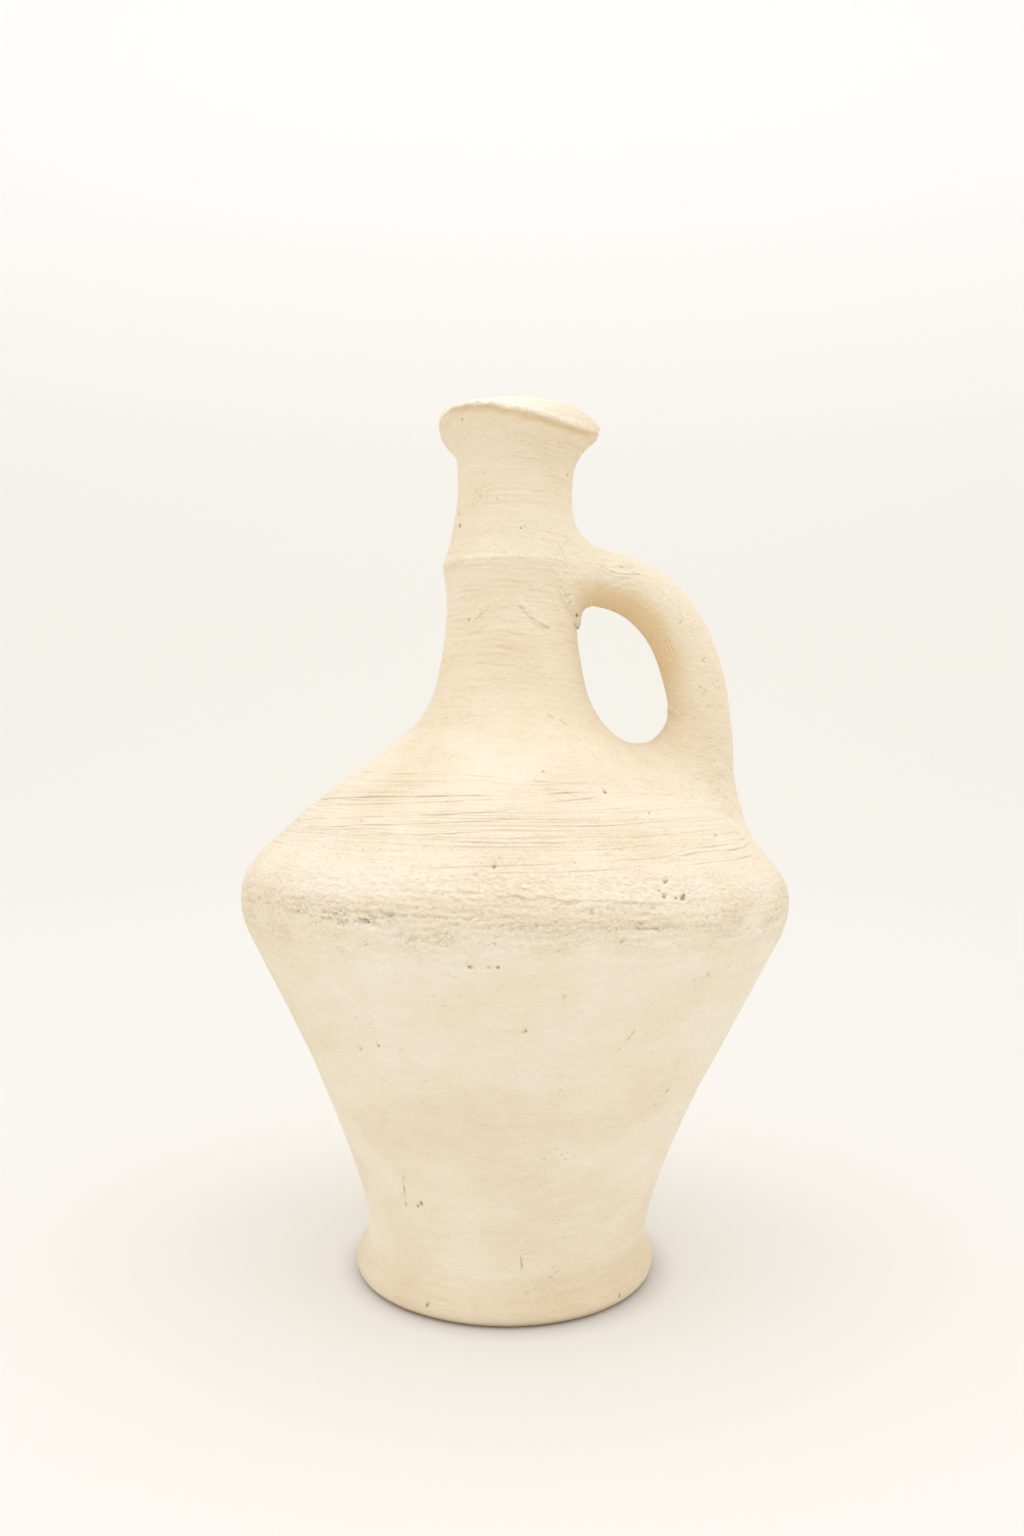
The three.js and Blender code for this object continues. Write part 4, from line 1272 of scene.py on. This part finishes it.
def handle():
    angle = np.linspace(0, 2 * np.pi, HANDLE_COLUMNS, endpoint=False)
    start, stop = entry_shares(angle, HANDLE_SINK)
    shares = start + np.linspace(0, 1, HANDLE_ROWS)[:, None] * (stop - start)
    grid = on_handle(shares, angle[None, :])
    place = axes_of(grid)
    marks = blank_marks(shares.shape)
    # painted warm shade on the side that faces the hole
    inner = smooth((-np.sin(angle) - 0.05 + 0.14 * noise(place, 12, 77)) / 0.75)
    marks["warm"] += 1.5 * inner * smooth((shares - 0.02) / 0.1) * smooth((0.72 - shares) / 0.34)
    front = bell(np.degrees(angle) - 168, 26)
    marks["rough"] += 0.6 * front * within(0.5 + noise(place, (9, 9, 14), 78))
    grid = handle_marks(grid, grid_facing(grid), marks)
    place_piece(grid, marks, "handle", "handle_clay", capped=True)


# Wads of clay smeared round the handle's ends

ARCH_NUDGE = 0.004  # short step along the arch, which shows its direction
EDGE_INSIDE = 0.86  # share of a footprint's spread that shows which way its edge turns in
UNDER_SPREAD = 0.9  # share of it that the hidden side covers
UNDER_DEPTH = 3.0  # how deep the hidden side lies in the vessel
UNDER_SHRINK = 0.25  # how far the hidden side is drawn in on the handle


def on_skin(azimuth, height, lift=0.0):
    radius = skin_radius(height)
    climb = skin_climb(height)
    depth = relief(azimuth[None, :], radius[None, :], height[None, :])[0][0] + lift
    lean = np.sqrt(1 - climb ** 2) * np.where(height > BELLY.height, 1, -1)
    ring, rise = bent(azimuth, radius + depth * climb, height + depth * lean, height)
    return points_on_axis(azimuth, ring, rise)


def wad(name, shares, footprint, upper_pull, lower_pull, crumbly, step, pits, creases, tan, pale):
    """A ring of clay from the handle's skin to a footprint on the vessel, hollow over the corner
    between them. Footprint gives azimuths and heights at a share of its full spread; the pulls say
    how far the clay clings to the handle and to the vessel, step how thick its edge stands."""
    angle = np.linspace(0, 2 * np.pi, WAD_COLUMNS, endpoint=False)
    t = np.linspace(0, 1, WAD_ROWS)[:, None, None]
    share, corner_share = shares(angle)
    top, corner = on_handle(share, angle), on_handle(corner_share, angle)
    along = unit(on_handle(share + ARCH_NUDGE * np.sign(corner_share - share), angle) - top)
    edge = on_skin(*footprint(angle, 1.0), lift=step(angle))
    inward = unit(on_skin(*footprint(angle, EDGE_INSIDE), lift=step(angle)) - edge)
    upper_reach = upper_pull(angle)[:, None] * np.linalg.norm(corner - top, axis=1, keepdims=True)
    lower_reach = lower_pull(angle)[:, None] * np.linalg.norm(corner - edge, axis=1, keepdims=True)
    surface = cubic(t, top, top + along * upper_reach, edge + inward * lower_reach, edge)[0]
    facing = grid_facing(surface)
    place = axes_of(surface)
    marks = blank_marks(surface.shape[:-1])
    crumbs = crumbly(angle, t[..., 0])
    lumps = 0.5 * noise(place, 16, 81) + 0.22 * noise(place, 6, 82) + 0.08 * noise(place, 2.2, 83)
    torn = np.maximum(noise(place, 2.4, 84) + 0.4 * noise(place, 1.2, 85), 0)
    held = smooth(t / 0.12) * smooth((1 - t) / 0.1)
    sink = 0.15 * (1 - smooth(t / 0.07)) + 0.15 * (1 - smooth((1 - t) / 0.12))
    inside = smooth((-np.sin(angle) - 0.7) / 0.3)[None, :, None]
    cuff = 0.3 * inside * bell(t - 0.05, 0.04)
    rise = held * (0.2 + lumps + 0.6 * crumbs * torn)[..., None] + cuff - sink

    def spot_on_wad(turn, down):
        return surface[round(down * (WAD_ROWS - 1)), round(turn * WAD_COLUMNS / 360)]

    for turn, down, radius in pits:
        hole = hollow(surface, spot_on_wad(turn, down), radius)
        rise = rise - 1.1 * radius * hole[..., None]
        # dirt and painted shade in the pit
        marks["dirt_and_shade"] += 0.9 * hole
    for deepest, width, knots in creases:
        away = line_distance(surface, [spot_on_wad(*knot) for knot in knots])
        away = away + 0.3 * noise(place, 2.4, 95)
        rise = rise + deepest * (0.4 * bell(away - 2 * width, width) - bell(away, width))[..., None]
    marks["rough"] += crumbs
    # painted warm shade where the wad faces the handle's hole
    marks["warm"] += tan * smooth((-np.sin(angle) - 0.12) / 0.8) * smooth((0.75 - t[..., 0]) / 0.5)
    marks["pale_and_highlight"] += pale * smooth((t[..., 0] - 0.3) / 0.5)
    # painted highlight and painted shade from the slopes of the wad's lumps
    slope_marks(surface + facing * rise, surface, marks)
    surface = handle_marks(surface + facing * rise, facing, marks)
    heart = (top.mean(0) + corner.mean(0)) / 2
    under_edge = on_skin(*footprint(angle, UNDER_SPREAD), lift=-UNDER_DEPTH)
    under_corner = corner + UNDER_SHRINK * (corner.mean(0) - corner)
    under_top = top + UNDER_SHRINK * (heart - top)
    grid = np.concatenate([surface, under_edge[None], under_corner[None], under_top[None]])
    place_piece(grid, marks, name, "handle_clay")


def upper_wad():
    above, below, aside = 18.0, 12.0, 13.0

    def shares(angle):
        start = entry_shares(angle, 0)[0]
        return start + 0.085 + 0.02 * np.sin(angle), start

    def footprint(angle, spread):
        climb = np.where(np.sin(angle) > 0, above, below)
        height = ARCH_HEIGHT + spread * (HANDLE_NECK_THICKNESS / 2 + climb) * np.sin(angle)
        round_way = spread * (HANDLE_WIDTH / 2 + aside) * np.cos(angle)
        return np.pi / 2 + round_way / skin_radius(height), height

    def pull(angle):
        return 0.62 + 0 * angle

    def crumbly(angle, t):
        return bell(np.degrees(angle) - 214, 24) * bell(t - 0.76, 0.22)

    def step(angle):
        return 1.7 * bell(np.degrees(angle) - 268, 15)

    pits = ((250, 0.8, 0.9), (253, 0.78, 0.7), (225, 0.8, 0.4), (214, 0.7, 0.35))
    creases = (
        (0.7, 0.7, ((156, 1.0), (162, 0.93), (170, 0.86), (176, 0.8))),
        (0.2, 0.6, ((200, 0.9), (210, 0.84), (220, 0.82))),
    )
    wad(
        "upper_handle_wad", shares, footprint, pull, pull, crumbly, step, pits, creases,
        tan=0.9, pale=0.05,
    )


def lower_wad():
    inward, outward, aside = 25.0, 17.0, 15.0

    def shares(angle):
        stop = entry_shares(angle, 0)[1]
        return stop - 0.20 + 0.06 * np.sin(angle), stop

    def footprint(angle, spread):
        reach = np.where(np.sin(angle) > 0, outward, inward)
        radius = ARCH_SEAT_RADIUS + spread * (HANDLE_SEAT_THICKNESS / 2 + reach) * np.sin(angle)
        round_way = spread * (HANDLE_WIDTH / 2 + aside) * np.cos(angle)
        return np.pi / 2 + round_way / radius, shoulder_height(radius)

    def upper_pull(angle):
        return 0.54 + 0.08 * np.sin(angle)

    def lower_pull(angle):
        return 0.46 + 0.16 * np.sin(angle)

    def crumbly(angle, t):
        return 0.5 * bell(np.degrees(angle) - 170, 25) * bell(t - 0.5, 0.3)

    def step(angle):
        return 0 * angle

    wad(
        "lower_handle_wad", shares, footprint, upper_pull, lower_pull, crumbly, step, (), (),
        tan=0.15, pale=0.22,
    )


# Stage, light and camera

PHOTO_HEIGHT = 1536
SENSOR = 36.0
FOCAL_PIXELS = 1120.0  # in the photograph's own pixels
CAMERA_PLACE = (-0.7, -546.9, 235.7)
CAMERA_PITCH = 0.34  # degrees upwards
CAMERA_ROLL = 0.62

# Brightness of the light tent: its front, and what its sides and roof add
TENT_FRONT = 0.66
TENT_SIDES = 0.72
TENT_ROOF = 0.26
TENT_SEEN = 0.92  # how bright the tent itself looks past the backdrop
TENT_TINT = (1.0, 0.995, 0.98, 1)

# Paper of the floor and the backdrop, and the soft glow that evens out its light
FLOOR_PAPER = (0.68, 0.672, 0.65, 1)
WALL_PAPER = (0.39, 0.385, 0.37, 1)
NO_GLOW = (0.0, 0.0, 0.0, 1)
FLOOR_GLOW = (0.172, 0.16, 0.147, 1)
LOW_WALL_GLOW = (0.485, 0.466, 0.43, 1)
HIGH_WALL_GLOW = (0.60, 0.60, 0.60, 1)
GLOW_START, GLOW_FULL = 0.066, 0.084  # metres from the axis between which the floor's glow comes up

SoftBox = collections.namedtuple("SoftBox", "place target size power")
TOP_LIGHT = SoftBox((0, -0.25, 1.5), (0, 0, 0.15), (1.6, 1.4), 6)
FRONT_LIGHT = SoftBox((0, -1.7, 0.25), (0, 0, 0.1), (2.4, 0.4), 2.1)


def sweep_paper():
    """Pale paper with a soft glow, which is left out under the jug so that its shadow shows; the gap in
    the glow is itself a painted shadow.
    """
    material = bpy.data.materials.new("sweep_paper")
    material.use_nodes = True
    tree = material.node_tree
    paper = tree.nodes["Principled BSDF"]
    paper.inputs["Roughness"].default_value = 1.0
    paper.inputs["Specular IOR Level"].default_value = 0.0
    paper.inputs["Emission Strength"].default_value = 1.0
    place = new_node(tree, "ShaderNodeTexCoord").outputs["Object"]
    axes = new_node(tree, "ShaderNodeSeparateXYZ")
    tree.links.new(place, axes.inputs["Vector"])
    flat = new_node(tree, "ShaderNodeVectorMath", {"operation": "MULTIPLY"}, {1: (1, 1, 0)})
    tree.links.new(place, flat.inputs[0])
    reach = new_node(tree, "ShaderNodeVectorMath", {"operation": "LENGTH"})
    tree.links.new(flat.outputs[0], reach.inputs[0])
    on_wall = remapped(tree, axes.outputs["Z"], 0.0, 0.2)
    high = remapped(tree, axes.outputs["Z"], 0.4, 1.4)
    # painted shadow: the floor's glow fades out towards the jug
    beside = remapped(tree, reach.outputs["Value"], GLOW_START, GLOW_FULL)
    floor_glow = mixed(tree, beside, NO_GLOW, FLOOR_GLOW)
    low_glow = mixed(tree, on_wall, floor_glow, LOW_WALL_GLOW)
    tree.links.new(mixed(tree, on_wall, FLOOR_PAPER, WALL_PAPER), paper.inputs["Base Color"])
    tree.links.new(mixed(tree, high, low_glow, HIGH_WALL_GLOW), paper.inputs["Emission Color"])
    return material


def stage_sweep():
    """A pale floor that sweeps up into a backdrop."""
    bend, back, front, wall, half = 0.7, 1.1, -6.0, 3.2, 6.0
    turns = np.linspace(0, np.pi / 2, 25)
    outline = [(front, 0.0), (back - bend, 0.0)]
    outline += [(back - bend + bend * math.sin(a), bend - bend * math.cos(a)) for a in turns[1:]]
    outline.append((back, wall))
    points = [(side * half, y, z) for y, z in outline for side in (-1, 1)]
    faces = [(2 * i, 2 * i + 1, 2 * i + 3, 2 * i + 2) for i in range(len(outline) - 1)]
    mesh = bpy.data.meshes.new("sweep")
    mesh.from_pydata(points, [], faces)
    mesh.shade_smooth()
    mesh.materials.append(sweep_paper())
    sweep = bpy.data.objects.new("sweep", mesh)
    bpy.context.collection.objects.link(sweep)


def soft_light(name, box):
    lamp = bpy.data.lights.new(name, "AREA")
    lamp.shape = "RECTANGLE"
    lamp.size, lamp.size_y = box.size
    lamp.energy = box.power
    light = bpy.data.objects.new(name, lamp)
    light.location = box.place
    light.visible_camera = False
    towards = Vector(box.target) - Vector(box.place)
    light.rotation_euler = towards.to_track_quat("-Z", "Y").to_euler()
    bpy.context.collection.objects.link(light)


def light_tent():
    """Light from all round, brighter from the sides and the roof. The camera sees it plain."""
    world = bpy.data.worlds.new("tent")
    world.use_nodes = True
    tree = world.node_tree
    sky = tree.nodes["Background"]
    sky.inputs["Color"].default_value = TENT_TINT
    axes = new_node(tree, "ShaderNodeSeparateXYZ")
    facing = new_node(tree, "ShaderNodeTexCoord").outputs["Generated"]
    tree.links.new(facing, axes.inputs["Vector"])
    aside = math_node(tree, "ABSOLUTE", axes.outputs["X"], 0.0)
    sides = times(tree, math_node(tree, "POWER", aside, 2.0), TENT_SIDES)
    above = times(tree, math_node(tree, "MAXIMUM", axes.outputs["Z"], 0.0), TENT_ROOF)
    walls = plus(tree, plus(tree, sides, above), TENT_FRONT)
    seen = new_node(tree, "ShaderNodeLightPath").outputs["Is Camera Ray"]
    lighting = times(tree, walls, minus(tree, 1.0, seen))
    strength = plus(tree, lighting, times(tree, seen, TENT_SEEN))
    tree.links.new(strength, sky.inputs["Strength"])
    bpy.context.scene.world = world


def studio():
    stage_sweep()
    light_tent()
    soft_light("top", TOP_LIGHT)
    soft_light("front", FRONT_LIGHT)
    bpy.context.scene.view_settings.view_transform = "Standard"


def camera():
    lens = bpy.data.cameras.new("camera")
    lens.sensor_width = SENSOR
    lens.lens = FOCAL_PIXELS / PHOTO_HEIGHT * SENSOR
    lens.clip_start = 0.01
    view = bpy.data.objects.new("camera", lens)
    tilt = Matrix.Rotation(math.radians(90 + CAMERA_PITCH), 4, "X")
    roll = Matrix.Rotation(math.radians(CAMERA_ROLL), 4, "Z")
    place = Matrix.Translation(Vector(CAMERA_PLACE) * MILLIMETRE)
    view.matrix_world = place @ tilt @ roll
    bpy.context.collection.objects.link(view)
    bpy.context.scene.camera = view


camera()
studio()
floor_disc()
foot_ring()
lower_wall()
belly_band()
shoulder()
neck_root()
lower_neck()
neck_collar()
upper_neck()
lip()
handle()
upper_wad()
lower_wad()
